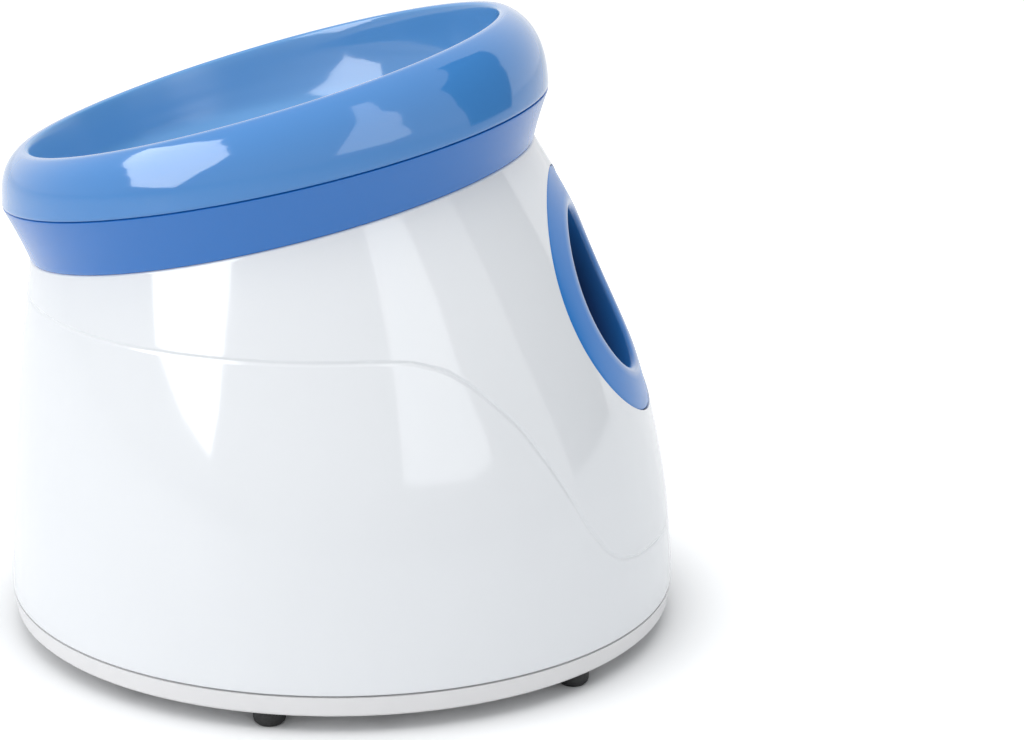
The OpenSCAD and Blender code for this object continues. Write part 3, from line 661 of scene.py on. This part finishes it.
def port_plastic(name, rgb):
    """Satin blue with painted shade that darkens down the barrel, and a painted highlight on its inner lip,
    which the balls that pass also rub glossier.
    """
    f = Finish(name)
    lip = f.marked("lip")
    # Painted shade: the colour darkens to navy down the barrel, more the deeper it goes.
    tone = f.mixed(f.marked("deep"), f.drifting(f.patches(DRIFT), rgb, 0.03), (0.012, 0.035, 0.13))
    # Painted highlight: a light band of colour round the inner lip; the lower roughness there stands for
    # rubbing by the balls.
    painted_light_high = tuple(0.55 * v + 0.36 for v in rgb)
    gloss = f.patches(UNEVEN, 3.0, to_low=0.22, to_high=0.26)
    return f.surface({"Base Color": f.mixed(lip * 0.8, tone, painted_light_high), "Roughness": gloss - lip * 0.08,
                      "IOR": 1.5, "Normal": f.bump(f.noise(RIPPLE, 1.0), SKIN)})


def metal(name, rgb, rough, stretch=(60.0, 900.0, 60.0)):
    """Drawn metal with fine lines along it and a few dull patches."""
    f = Finish(name)
    grain = f.node("ShaderNodeVectorMath", {"operation": "MULTIPLY"}, {0: f.place(), 1: stretch})
    lines = f.noise(1.0, 3.0, 0.6, grain)
    patch = f.patches(70.0, 4.0, low=0.45)
    tone = f.mixed(patch, rgb, shade(rgb, 0.88))
    gloss = f.spread(lines, 0.3, 0.7, rough * 0.75, rough * 1.35) + patch * 0.08
    return f.surface({"Base Color": tone, "Roughness": gloss, "Metallic": 1.0,
                      "Normal": f.bump(lines, 2 * SKIN)})


def rubber(name, rgb):
    """Soft black rubber with a dusty skin."""
    f = Finish(name)
    dust = f.patches(120.0, 5.0, 0.65, 0.5, 0.8)
    tone = f.mixed(dust * 0.35, rgb, (0.09, 0.09, 0.09))
    pores = f.noise(1500.0)
    return f.surface({"Base Color": tone, "Roughness": f.spread(pores, 0.3, 0.7, 0.62, 0.82),
                      "IOR": 1.45, "Normal": f.bump(pores, 4 * SKIN)})


def cell_sleeve(name):
    """Plain shrink sleeve on each cell: dark with a copper band at its plus end, steel ends."""
    f = Finish(name)
    cell, band_at = 0.05, 0.034
    along = (f.along("Y") + 1.5 * cell) % cell
    band = along > band_at
    line = (along > band_at - 0.0015) * (along < band_at)
    bare = (along > 0.0482) + (along < 0.0006)
    scuff = f.patches(300.0, 4.0, low=0.5, high=0.8)
    tone = f.mixed(band, (0.03, 0.03, 0.034), (0.55, 0.24, 0.08))
    tone = f.mixed(line, tone, (0.75, 0.75, 0.75))
    tone = f.mixed(bare, tone, (0.6, 0.6, 0.61))
    return f.surface({"Base Color": f.mixed(scuff * 0.15, tone, (0.3, 0.3, 0.3)),
                      "Roughness": f.spread(scuff, 0.0, 1.0, 0.28, 0.42), "Metallic": bare * 0.9,
                      "Coat Weight": 0.3, "Normal": f.bump(f.noise(500.0), SKIN)})


def circuit(name):
    """Green solder mask over copper tracks with tinned pads."""
    f = Finish(name)
    turn = f.node("ShaderNodeMapping", None, {"Vector": f.place(), "Rotation": (0, 0, math.radians(-60))})
    track = f.node("ShaderNodeTexBrick", {"offset": 0.5},
                   {"Vector": turn, "Scale": 160.0, "Mortar Size": 0.035, "Color1": (0, 0, 0, 1),
                    "Color2": (0, 0, 0, 1), "Mortar": (1, 1, 1, 1)}, output="Fac")
    dots = f.node("ShaderNodeTexVoronoi", None, {"Vector": turn, "Scale": 420.0}, output="Distance")
    pad = dots < 0.16
    tone = f.mixed(track, (0.006, 0.105, 0.045), (0.02, 0.2, 0.08))
    tone = f.mixed(pad, tone, (0.62, 0.61, 0.56))
    return f.surface({"Base Color": tone, "Roughness": 0.3 + f.noise(200.0) * 0.12,
                      "Metallic": pad * 0.8, "Coat Weight": 0.4,
                      "Normal": f.bump(track + pad * 0.5, 5 * SKIN)})


def light_guide(name):
    """Milky clear plastic."""
    f = Finish(name)
    haze = f.patches(180.0, 3.0, low=0.35, high=0.65)
    tone = f.mixed(haze, (0.88, 0.93, 0.9), (0.78, 0.86, 0.82))
    return f.surface({"Base Color": tone, "Roughness": f.spread(haze, 0, 1, 0.12, 0.25),
                      "Transmission Weight": 0.35, "IOR": 1.49, "Coat Weight": 0.3,
                      "Normal": f.bump(f.noise(700.0), SKIN)})


def all_finishes(colours):
    """Makes every finish, by its slot in the record, and returns the slots."""
    port = tuple(colours.port)
    made = [
        glossy("white_shell", tuple(colours.shell), 0.09, 0.3),
        moulded("white_tray", tuple(colours.tray), 0.4, 0.15, mottle=0.012),
        rubber("black_rubber", (0.018, 0.018, 0.019)),
        glossy("blue_collar", tuple(colours.collar), 0.2, 0.2, mottle=0.03),
        bowl_plastic("blue_bowl", tuple(colours.bowl)),
        port_plastic("blue_port", port),
        moulded("dark_chamber", (0.02, 0.045, 0.13), 0.42, 0.1),
        moulded("grey_frame", (0.20, 0.21, 0.23), 0.45, 0.0, 3 * SKIN),
        metal("steel", (0.62, 0.62, 0.64), 0.26),
        metal("screw_steel", (0.40, 0.40, 0.43), 0.32, (400.0, 400.0, 400.0)),
        moulded("arm_plastic", (0.72, 0.28, 0.04), 0.4, 0.1, 2 * SKIN),
        moulded("gear_plastic", (0.76, 0.74, 0.66), 0.36, 0.1),
        metal("pinion_brass", (0.78, 0.56, 0.22), 0.24),
        moulded("black_plastic", (0.02, 0.02, 0.022), 0.4, 0.05, 3 * SKIN),
        cell_sleeve("cell_wrap"),
        circuit("board_green"),
        glossy("button_blue", port, 0.24, 0.5, 3 * SKIN, 0.03),
        light_guide("clear_pipe"),
    ]
    return [material.name for material in made]


def dress(made, slot):
    """Gives an object one finish, in place of what it had."""
    made.data.materials.clear()
    made.data.materials.append(bpy.data.materials[slot])


def set_piece(made, body, slot, *nodes):
    """Puts a finished piece on its body, with its finish and the nodes it stands for."""
    dress(made, slot)
    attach(made, body)
    if nodes:
        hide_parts(*nodes)


def add_piece(name, shapes, sharp, body, slot, *nodes):
    """Makes one piece from closed shapes, finished and on its body."""
    made = mesh_object(name, *joined(shapes))
    finish_mesh(made, sharp)
    set_piece(made, body, slot, *nodes)


# ---------------------------------------------------------------- pieces

# Moulded line round the shell: angle from the front in degrees, and height in millimetres.
CREASE = [(0, 35.6), (14, 35.7), (22, 36.3), (28, 38.6), (32, 43.2), (36, 52.8), (40.8, 71.2),
          (46.4, 89.5), (50.3, 97.8), (53.6, 104.2), (57.5, 109.6), (63, 112.8), (70, 113.8),
          (90, 114), (180, 114)]


def crease_height(angles):
    """Height of the moulded line at each angle, and its slope in millimetres per millimetre."""
    ang = np.abs((np.degrees(angles) + 180) % 360 - 180)
    known = np.array(CREASE, float)
    per_degree, rounding, arc_per_degree = 8, 18, 1.66
    fine = np.linspace(0, 180, 180 * per_degree + 1)
    base = np.interp(fine, known[:, 0], known[:, 1])
    window = np.hanning(rounding + 1)
    padded = np.pad(base, rounding, mode="reflect")
    soft = np.convolve(padded, window / window.sum(), "same")[rounding:-rounding]
    slope = np.gradient(soft, fine) / arc_per_degree
    return np.interp(ang, fine, soft), np.interp(ang, fine, slope)


class LAUNCHER_OT_shell(bpy.types.Operator):
    """Builds the leaning white shell with its moulded line, flange and openings"""
    bl_idname = "launcher.shell"
    bl_label = "White Shell"

    def execute(self, context):
        sizes = context.scene.launcher_sizes
        columns = sizes.columns
        a = angles_round(columns)
        edge, deep = sizes.edge_round / MM, sizes.crease_depth / MM
        crease, slope = crease_height(a)
        reach = sizes.crease_width / MM / 2 * np.hypot(1, slope)
        bottom, top = np.full(columns, SEAM_Z), wall_point(1.0, a)[:, 2]
        below, above = crease - reach, crease + reach

        # Rows of the outside from its foot up: their heights, and how far they stand in.
        # Under the moulded line the wall eases in, by this share of the line's depth.
        eased = 0.45
        rows = [(bottom + edge * q, edge * d) for q, d in ((0, 1), (0.3, 0.3), (1, 0))]
        for q in np.linspace(0.02, 1, 44):
            rows.append((bottom + edge + (below - bottom - edge) * q, deep * eased * q * q * (3 - 2 * q)))
        for q in np.linspace(-1, 1, 17)[1:]:
            least = 0.0 if q > 0 else eased
            wave = 0.5 + 0.5 * math.cos(q * math.pi)
            rows.append((crease + q * reach, deep * (least + (1 - least) * wave)))
        rows += [(above + (top - edge - above) * q, 0) for q in np.linspace(0.03, 1, 44)]
        rows += [(top - edge * (1 - q), edge * d) for q, d in ((0.3, 0.1), (0.7, 0.4), (0.92, 0.8))]
        heights, insets = np.array([z for z, _ in rows]), np.array([[d] for _, d in rows])
        skin = wall_point(height_at(heights, a), a, insets)

        across = np.roll(skin, -1, 1) - np.roll(skin, 1, 1)
        up = np.gradient(skin, axis=0)
        normals = np.cross(across, up)
        normals /= np.linalg.norm(normals, axis=-1, keepdims=True)

        flange = [wall_point(1.0, a, edge * 1.2), wall_point(1.0, a, FLANGE_W),
                  wall_point(1.0, a, FLANGE_W) - FLANGE_H * np.array(RIM_AXIS)]
        q = np.append(1, np.linspace(0.96, 0.0, 24))[:, None]
        inside = wall_point(height_at(bottom + (top - FLANGE_H - bottom) * q, a), a, WALL)
        shell = closed_mesh("shell_moulding", np.concatenate([skin, flange, inside]))

        controls = wall_frame(BUTTON_T, CONTROL_ANGLE)
        jack = wall_frame(JACK_T, CONTROL_ANGLE)
        through = (-8, 6)
        tools = [bore(AIM_FRAME, 0, 0, PORT_R + 0.3, -30, 30, 160),
                 bore(controls, 0, 0, BUTTON_R + BUTTON_GAP, *through, 72), bore(jack, 0, 0, 5.8, *through)]
        tools += [bore(controls, x, y, 1.8, *through, 32) for x, y, _ in GUIDE_PLACES]
        tools += rim_bores(1.7, *through)
        cut(shell, tools)
        take_normals(shell, skin, normals)
        set_piece(shell, "case", "white_shell", "outer_shell")

        boss = [(4, 10.5), (4, 32), (3.4, 32.5), (1.5, 32.5), (1.5, 10.5)]
        post = [(3, -13), (3, -2.7), (1.5, -2.7), (1.5, -13)]
        posts = [turned(boss, 32, Matrix.Rotation(math.radians(k), 4, "Z") @ Matrix.Translation((r, 0, 0)))
                 for r, k in BOSS_PLACES]
        posts += [turned(post, 28, controls @ Matrix.Translation(p)) for p in POST_PLACES]
        add_piece("shell_bosses", posts, 35, "case", "white_shell")
        return {"FINISHED"}


class LAUNCHER_OT_hopper(bpy.types.Operator):
    """Builds the blue collar and the blue bowl with its rim and throat"""
    bl_idname = "launcher.hopper"
    bl_label = "Collar and Bowl"

    def execute(self, context):
        sizes = context.scene.launcher_sizes
        columns = sizes.columns
        edge = sizes.edge_round / MM
        v_edge = edge / COLLAR_H
        flange = FLANGE_H / COLLAR_H
        rings = [collar_ring(0, TOP_R - edge), collar_ring(v_edge * 0.3, TOP_R - edge * 0.3)]
        rings += [collar_ring(v, collar_radius(v)) for v in np.linspace(v_edge, 1 - v_edge * 1.6, 26)]
        rings += [collar_ring(1 - v_edge * q, collar_radius(1) - edge * d)
                  for q, d in ((0.6, 0.4), (0.05, 1.3))]
        rings += [collar_ring(v, collar_radius(v) - WALL) for v in (1, 0.8, 0.6, 0.45, 0.33, flange)]
        rings += [collar_ring(v, r) for v, r in ((flange, 76.8), (flange * 0.9, 76.6), (0, 76.6))]
        collar = closed_mesh("collar_band", ring_grid(rings, columns), 50)
        cut(collar, rim_bores(1.5, -1, 12), 50)
        set_piece(collar, "case", "blue_collar", "hopper_collar")

        # Rings of the bowl: up its outside, over the crest, down to the throat and back underneath.
        floor = collar_ring(0.46, 60.2)
        mouth = np.array([THROAT_X, THROAT_TOP, THROAT_R, 0])
        outer = [rim_ring(u, rim_radius(0) - edge * d) for u, d in ((0.002, 1.3), (0.012, 0.4))]
        heights = [*np.linspace(0.04, 0.9, 26), 0.925, 0.945, 0.962, 0.976, 0.987]
        outer += [rim_ring(u, rim_radius(u)) for u in heights]
        inner = [outer[-1]] + [rim_ring(u, r) for u, r in (
            (0.996, 82.1), (0.986, 80.7), (0.92, 79.9), (0.6, 79.2), (0.3, 78.2), (0, 76.3))]
        inner += [collar_ring(0.79, 72.6), collar_ring(0.57, 66.8)]
        inner += [floor + (mouth - floor) * w for w in (0, 0.4, 0.8)] + [mouth + np.array([0, 0.6, 0.2, 0])]
        inner = smooth_rings(inner, 6)[1:] + [lowered(mouth, 1.6)]
        inner += [np.array([THROAT_X, THROAT_END + up, THROAT_R + out, 0])
                  for up, out in ((0.4, 0), (0, 0.3), (0, 2.1), (0.4, 2.5), (4.8, 2.5))]
        floor_skin = 2.88
        under = [lowered(floor + (mouth - floor) * w, floor_skin) for w in (0.8, 0.6, 0.4, 0.2, 0)]
        under += [lowered(collar_ring(0.57, 67.9), 1.92), collar_ring(0.79, 74.9)]
        under += [rim_ring(u, r) for u, r in ((0, 78.6), (0.3, 80.4), (0.6, 81.4), (0.84, 82.1))]
        under += [rim_ring(u, rim_radius(u) - BOWL_SKIN) for u in (0.84, 0.7, 0.55, 0.4, 0.2)]
        under += [rim_ring(0.002, rim_radius(0) - BOWL_SKIN)]
        grid = ring_grid(outer + inner + under, columns)
        bowl = closed_mesh("bowl_moulding", grid, 50)
        # The inside's painted light and its wear start some rows past the crest's first and come on over a
        # few more.
        light_and_wear_from, light_and_wear_over = 6.0, 8
        row = np.arange(len(grid)) - len(outer) - light_and_wear_from
        mark(bowl, "inside", np.clip(row / light_and_wear_over, 0, 1) * (row < len(inner)), columns)
        set_piece(bowl, "case", "blue_bowl", "hopper_bowl")
        return {"FINISHED"}


class LAUNCHER_OT_port(bpy.types.Operator):
    """Builds the blue ring that lines the port, flush with the shell"""
    bl_idname = "launcher.port"
    bl_label = "Port Ring"

    def execute(self, context):
        sizes = context.scene.launcher_sizes
        columns = sizes.columns
        edge = sizes.edge_round / MM
        lip = sizes.lip_round / MM
        phi = angles_round(columns)

        def at_skin(rho, inset, drop=0.0):
            return aim_point(rho, phi, aim_depth(rho, phi, inset) - drop)

        # Rows from the barrel outwards over the lip and the face, then back behind the wall.
        rows = [aim_point(BARREL_R, phi, -BARREL_DEPTH)]
        shallow = aim_depth(BARREL_R, phi, PORT_SINK) - lip
        for q in np.linspace(0.1, 1, 8):
            rows.append(aim_point(BARREL_R, phi, -BARREL_DEPTH + (shallow + BARREL_DEPTH) * q))
        first = len(rows)
        for k in np.radians(np.linspace(0, 90, 9)[1:]):
            rows.append(at_skin(BARREL_R + lip * (1 - math.cos(k)), PORT_SINK, lip * (1 - math.sin(k))))
        for rho in np.linspace(BARREL_R + lip + 1.2, PORT_R - edge * 1.5, 10):
            rows.append(at_skin(rho, PORT_SINK))
        rows += [at_skin(PORT_R - edge, PORT_SINK, 0.02),
                 at_skin(PORT_R - edge * 0.3, PORT_SINK, edge * 0.3), at_skin(PORT_R, PORT_SINK, edge)]
        flange = 2.0
        behind = WALL + PORT_SINK
        back = behind + flange
        rows += [at_skin(PORT_R, behind), at_skin(RING_R, behind), at_skin(RING_R, back),
                 at_skin(SLEEVE_R + 0.4, back)]
        rows.append(aim_point(SLEEVE_R, phi, np.minimum(aim_depth(SLEEVE_R, phi, back) - 0.6, -1.0)))
        rows.append(aim_point(SLEEVE_R, phi, -BARREL_DEPTH))
        ring = closed_mesh("port_ring", np.array(rows), 50)
        steps = np.arange(len(rows)) - first
        # Painted highlight: the lip mark puts a light band on the rounded inner lip, which is also made
        # glossier there.
        mark(ring, "lip", np.clip(1.6 - np.abs(steps - 5.0) / 2.2, 0, 1), columns)
        # Painted shade: the deep mark darkens the barrel more the further in it goes.
        mark(ring, "deep", np.clip(0.35 - steps / 7, 0, 1) * (steps < 3), columns)
        set_piece(ring, "case", "blue_port", "port_bezel")
        return {"FINISHED"}


class LAUNCHER_OT_spring(bpy.types.Operator):
    """Winds the hammer's torsion spring round its shaft"""
    bl_idname = "launcher.spring"
    bl_label = "Hammer Spring"

    def execute(self, context):
        wire = context.scene.launcher_sizes.spring_wire / MM
        low, high = (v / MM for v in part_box("hammer_spring"))
        outside, mean, leg = 8.0, 7.2, 22.0
        leg_steps, turn_steps, sides, pitch = 26, 40, 10, wire * 1.12
        centre = np.array([(low.x + high.x) / 2, 0, high.z - outside])
        start, stop = low.y + wire, high.y - wire
        turns = (stop - start) / pitch
        w = np.arange(leg_steps) / leg_steps
        straight = np.stack([mean + 0 * w, start + 0 * w, leg * (w - 1)], -1)
        w = np.linspace(0, 1, int(turns * turn_steps) + 1)
        ang = 2 * math.pi * turns * w
        coil = np.stack([mean * np.cos(ang), start + (stop - start) * w, mean * np.sin(ang)], -1)
        path = centre + np.concatenate([straight, coil])
        tangent = np.gradient(path, axis=0)
        tangent /= np.linalg.norm(tangent, axis=1, keepdims=True)
        side = np.cross(tangent, [0.0, 1.0, 0.0])
        side /= np.linalg.norm(side, axis=1, keepdims=True)
        other = np.cross(tangent, side)
        ring = angles_round(sides)[None, :, None]
        grid = path[:, None] + wire / 2 * (np.cos(ring) * side[:, None] + np.sin(ring) * other[:, None])
        add_piece("spring_coil", [(grid, capped_faces(len(path), sides))], 60, "case", "steel",
                  "hammer_spring")
        return {"FINISHED"}


# Screws: node, body and the direction that their shanks lie along.
SCREWS = [("tray_screws", "case", (0, 0, 1)), ("door_screw", "door", (0, 0, 1)),
          ("chassis_screws", "case", (0, 0, 1)), ("collar_screws", "case", RIM_AXIS),
          ("motor_screws", "case", (0, 1, 0)), ("gearbox_screws", "case", (0, 1, 0)),
          ("board_screws", "case", None)]


class LAUNCHER_OT_fittings(bpy.types.Operator):
    """Builds the screws, button, light guides, inlet pin, sounder and battery door"""
    bl_idname = "launcher.fittings"
    bl_label = "Fittings"

    def execute(self, context):
        controls = wall_frame(BUTTON_T, CONTROL_ANGLE)
        jack = wall_frame(JACK_T, CONTROL_ANGLE)
        for name, body, axis in SCREWS:
            pairs = [screw(pts, axis or controls.col[2][:3]) for pts in loose_parts(frame["nodes"][name])]
            made = mesh_object(name + "_turned", *joined([p[0] for p in pairs]))
            finish_mesh(made)
            cut(made, [p[1] for p in pairs])
            set_piece(made, body, "screw_steel", name)

        cap = [(11.0, -5.3), (11.6, -5.0), (11.6, -3.9), (11.2, -3.5), (BUTTON_R, -3.5), (BUTTON_R, 0.3),
               (9.85, 0.75), (9.5, 1.05), (9.0, 1.18), (8.5, 1.16), (7.4, 0.95), (5.5, 0.72), (3.0, 0.6),
               (0.3, 0.57)]
        add_piece("button_cap", [solid_turn(cap, 96, controls)], 50, "button", "button_blue", "power_button")

        guide = [(1.4, -13), (1.6, -12.8), (1.6, -0.8), (1.5, -0.45), (1.15, -0.2), (0.6, -0.1)]
        guides = [solid_turn(guide, 32, controls @ Matrix.Translation(p)) for p in GUIDE_PLACES]
        add_piece("light_guides", guides, 50, "case", "clear_pipe", "light_pipes")

        pin = [(1, -12.6), (1, -5.2), (0.8, -4.7), (0.3, -4.5)]
        add_piece("inlet_pin", [solid_turn(pin, 24, jack)], 50, "case", "steel")

        low, high = (np.array(v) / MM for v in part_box("speaker"))
        r = (high[0] - low[0]) / 2
        seat = Matrix.Translation(((low[0] + high[0]) / 2, (low[1] + high[1]) / 2, low[2]))
        basket = [(0.2, 2.4), (2.0, 2.45), (4.0, 2.9), (4.6, 3.4), (8.0, 2.2)]
        basket += [(r - d, z) for d, z in (
            (4.2, 1.2), (4.0, 0.8), (3.2, 0.35), (2.4, 0.8), (2.2, 1.2), (1.9, 0.3),
            (1.6, 0), (0.3, 0), (0, 0.3), (0, 1.6), (0.4, 1.9), (2.5, 2.4))]
        basket += [(9.4, 4.8), (8.8, 5.2), (9, 5.5), (9, 10.6), (8.6, 11), (0.2, 11)]
        add_piece("sounder_basket", [solid_turn(basket, 72, seat)], 30, "case", "black_plastic", "speaker")

        # The battery door, with its screw hole and finger grooves.
        low, high = (np.array(v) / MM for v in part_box("battery_door"))
        door = mesh_object("door_panel", *slab(low, high, 1.2, 0.5))
        finish_mesh(door)
        screw_in, grooves, groove_in, pitch, sunk = 7.7, 5, 9, 4.6, 1.3
        tools = [bore(Matrix.Translation((0, low[1] + screw_in, low[2])), 0, 0, 1.7, -2, 5, 32)]
        groove = [(1.2, -15), (2.1, -13.5), (2.1, 13.5), (1.2, 15)]
        for k in range(grooves):
            place = Matrix.Translation((0, high[1] - groove_in - pitch * k, low[2] - sunk))
            tools.append(solid_turn(groove, 32, place @ Matrix.Rotation(math.pi / 2, 4, "Y")))
        cut(door, tools, 20)
        set_piece(door, "door", "white_tray", "battery_door")
        return {"FINISHED"}


class LAUNCHER_OT_finishes(bpy.types.Operator):
    """Makes every finish and puts it on the frame's own pieces"""
    bl_idname = "launcher.finishes"
    bl_label = "Finishes"

    def execute(self, context):
        made = all_finishes(context.scene.launcher_colours)
        slots = {s["node"]: s["material_slot"] for s in frame["record"]["subparts"]}
        for name, node in frame["nodes"].items():
            if slots[name] not in made:
                raise RuntimeError("no finish for " + name)
            dress(node, slots[name])
        return {"FINISHED"}


# ---------------------------------------------------------------- stage

def lamp(name, place, target, size, power):
    """A square lamp that lights surfaces but isn't mirrored in them."""
    data = bpy.data.lights.new(name, "AREA")
    data.shape = "RECTANGLE"
    data.size = data.size_y = size
    data.energy = power
    made = bpy.data.objects.new(name, data)
    bpy.context.scene.collection.objects.link(made)
    look = (Vector(target) - Vector(place)).to_track_quat("-Z", "Y").to_matrix().to_4x4()
    made.matrix_world = Matrix.Translation(place) @ look
    made.visible_camera = False
    made.visible_glossy = False


def around(azimuth, elevation, distance, centre=(0, 0, 0.1)):
    """A place seen from the centre at an azimuth and elevation in degrees."""
    a, e = math.radians(azimuth), math.radians(elevation)
    way = Vector((math.cos(a) * math.cos(e), math.sin(a) * math.cos(e), math.sin(e)))
    return Vector(centre) + distance * way


# Corners of the reflection cards: azimuth and elevation in degrees, seen from the launcher.
CARD_LEFT = [(-123, 1), (-120, 6), (-117, 14), (-113, 23), (-112, 34), (-125, 48), (-150, 59),
             (-178, 56), (-205, 45), (-188, 41), (-162, 30), (-149, 17), (-144, 7), (-133, 3)]
CARD_RIGHT = [(-59.5, 4), (-36, 3.5), (-27, 5), (-28, 9), (-32, 16), (-32, 26), (-34, 34), (-43, 46),
              (-43, 66), (-57, 68), (-54, 38), (-56.5, 21)]
CARD_DARK = [(4, -3), (31, -3), (30.5, 11), (32, 25), (47, 45), (38, 57), (29, 62), (-7, 39), (-4, 14)]


def reflection_card(name, corners, strength):
    """A card that only glossy surfaces see, as white or as dark as its strength."""
    ring = []
    steps, distance, centre = 8, 1.25, (0, 0, 0.12)
    for (a0, e0), (a1, e1) in zip(corners, corners[1:] + corners[:1]):
        for k in range(steps):
            w = k / steps
            ring.append(around(a0 + (a1 - a0) * w, e0 + (e1 - e0) * w, distance, centre))
    middle = sum(ring, Vector()) / len(ring)
    pts = np.array([tuple(v) for v in ring + [middle]]) / MM
    made = mesh_object(name, pts, [(k, (k + 1) % len(ring), len(ring)) for k in range(len(ring))])
    f = Finish(name + "_glow")
    cloth = f.mixed(f.patches(4.0), (0.94, 0.965, 1.0), (0.98, 0.99, 1.0))
    glow = f.node("ShaderNodeEmission", None, {"Color": cloth, "Strength": strength})
    made.data.materials.append(f.output(glow))
    for ray in ("camera", "diffuse", "transmission", "shadow"):
        setattr(made, "visible_" + ray, False)


def floor_paint():
    """Off-white paint that looks clean white to the camera; its white glow fades out near the launcher, which
    paints the floor darker round its base, on top of the launcher's own shadow.
    """
    f = Finish("floor_paint")
    paint = f.node("ShaderNodeBsdfPrincipled", None, {
        "Base Color": f.mixed(f.patches(3.0), (0.86, 0.865, 0.87), (0.88, 0.882, 0.885)),
        "Roughness": 0.6, "IOR": 1.3})
    white, none = (f.node("ShaderNodeEmission", None, {"Color": (1, 1, 1, 1), "Strength": strength})
                   for strength in (0.35, 0.0))
    away = f.node("ShaderNodeVectorMath", {"operation": "LENGTH"}, {0: f.place()}, output="Value")
    seen = (f.node("ShaderNodeLightPath", output="Is Camera Ray")
            + f.node("ShaderNodeLightPath", output="Is Glossy Ray") * 0.5)
    # Painted shade: no glow within 0.108 m of the launcher's centre, rising to full glow at 0.150 m.
    extra = f.node("ShaderNodeMixShader", None, {0: seen * f.spread(away, 0.108, 0.150), 1: none, 2: white})
    return f.output(f.node("ShaderNodeAddShader", None, {0: paint, 1: extra}))


# The camera, solved from the photo: its place in metres, and its right, up and back directions.
CAMERA_AT = (0.12259, -0.86779, 0.35153)
CAMERA_AXES = ((0.99681, 0.07885, 0.01211), (-0.03464, 0.2911, 0.95607), (0.07186, -0.95344, 0.2929))
CAMERA_LENS = 95.07


class LAUNCHER_OT_stage(bpy.types.Operator):
    """Sets the floor, lamps, world and camera"""
    bl_idname = "launcher.stage"
    bl_label = "Stage"

    def execute(self, context):
        scene = context.scene
        view = bpy.data.cameras.new("view")
        view.lens = CAMERA_LENS
        view.sensor_width = 36.0
        view.clip_start = 0.01
        camera = bpy.data.objects.new("view", view)
        scene.collection.objects.link(camera)
        turn = Matrix(CAMERA_AXES).transposed().to_4x4()
        camera.matrix_world = Matrix.Translation(CAMERA_AT) @ turn
        scene.camera = camera

        half = 4.0
        corners = np.array([(-1, -1, 0), (1, -1, 0), (1, 1, 0), (-1, 1, 0)]) * half
        floor = mesh_object("floor", corners / MM, [(0, 1, 2, 3)])
        floor.data.materials.append(floor_paint())

        world = bpy.data.worlds.new("studio")
        scene.world = world
        w = Finish("studio", world)
        camera_ray, glossy_ray, clear_ray = (w.node("ShaderNodeLightPath", output="Is %s Ray" % kind)
                                             for kind in ("Camera", "Glossy", "Transmission"))
        toward = w.node("ShaderNodeSeparateXYZ", None,
                        {0: w.node("ShaderNodeTexCoord", output="Generated")}, output="X")
        level = w.spread(toward, -0.9, 0.9, 0.90, 0.54)
        soft = w.node("ShaderNodeBackground", None, {"Color": (0.95, 0.975, 1.0, 1), "Strength": level})
        white = w.node("ShaderNodeBackground", None, {"Color": (0.99, 0.99, 0.995, 1), "Strength": 1.0})
        seen = camera_ray + glossy_ray + clear_ray
        w.output(w.node("ShaderNodeMixShader", None, {0: seen, 1: soft, 2: white}), "World")

        lamp("key_left", around(-150, 40, 1.6), (0, 0, 0.08), 1.0, 4.5)
        lamp("top", around(-80, 82, 1.5), (0, 0, 0.1), 1.2, 9.0)
        reflection_card("card_left", CARD_LEFT, 6.0)
        reflection_card("card_right", CARD_RIGHT, 2.7)
        reflection_card("card_dark", CARD_DARK, 0.1)

        scene.view_settings.view_transform = "Standard"
        return {"FINISHED"}


# ---------------------------------------------------------------- panel and run

STEPS = (LAUNCHER_OT_finishes, LAUNCHER_OT_shell, LAUNCHER_OT_hopper, LAUNCHER_OT_port,
         LAUNCHER_OT_spring, LAUNCHER_OT_fittings, LAUNCHER_OT_stage)


class LAUNCHER_PT_panel(bpy.types.Panel):
    """Lists the launcher's sizes, colours and build steps"""
    bl_idname = "LAUNCHER_PT_panel"
    bl_label = "Ball Launcher"
    bl_space_type = "VIEW_3D"
    bl_region_type = "UI"
    bl_category = "Launcher"

    def draw(self, context):
        for group in (context.scene.launcher_sizes, context.scene.launcher_colours):
            for key in group.__annotations__:
                self.layout.prop(group, key)
        for step in STEPS:
            self.layout.operator(step.bl_idname)


CLASSES = (LauncherSizes, LauncherColours) + STEPS + (LAUNCHER_PT_panel,)


def register():
    for item in CLASSES:
        bpy.utils.register_class(item)
    bpy.types.Scene.launcher_sizes = PointerProperty(type=LauncherSizes)
    bpy.types.Scene.launcher_colours = PointerProperty(type=LauncherColours)


def unregister():
    del bpy.types.Scene.launcher_colours
    del bpy.types.Scene.launcher_sizes
    for item in reversed(CLASSES):
        bpy.utils.unregister_class(item)


def main():
    register()
    bpy.ops.launcher.finishes()
    bpy.ops.launcher.shell()
    bpy.ops.launcher.hopper()
    bpy.ops.launcher.port()
    bpy.ops.launcher.spring()
    bpy.ops.launcher.fittings()
    bpy.ops.launcher.stage()


if __name__ == "__main__":
    main()
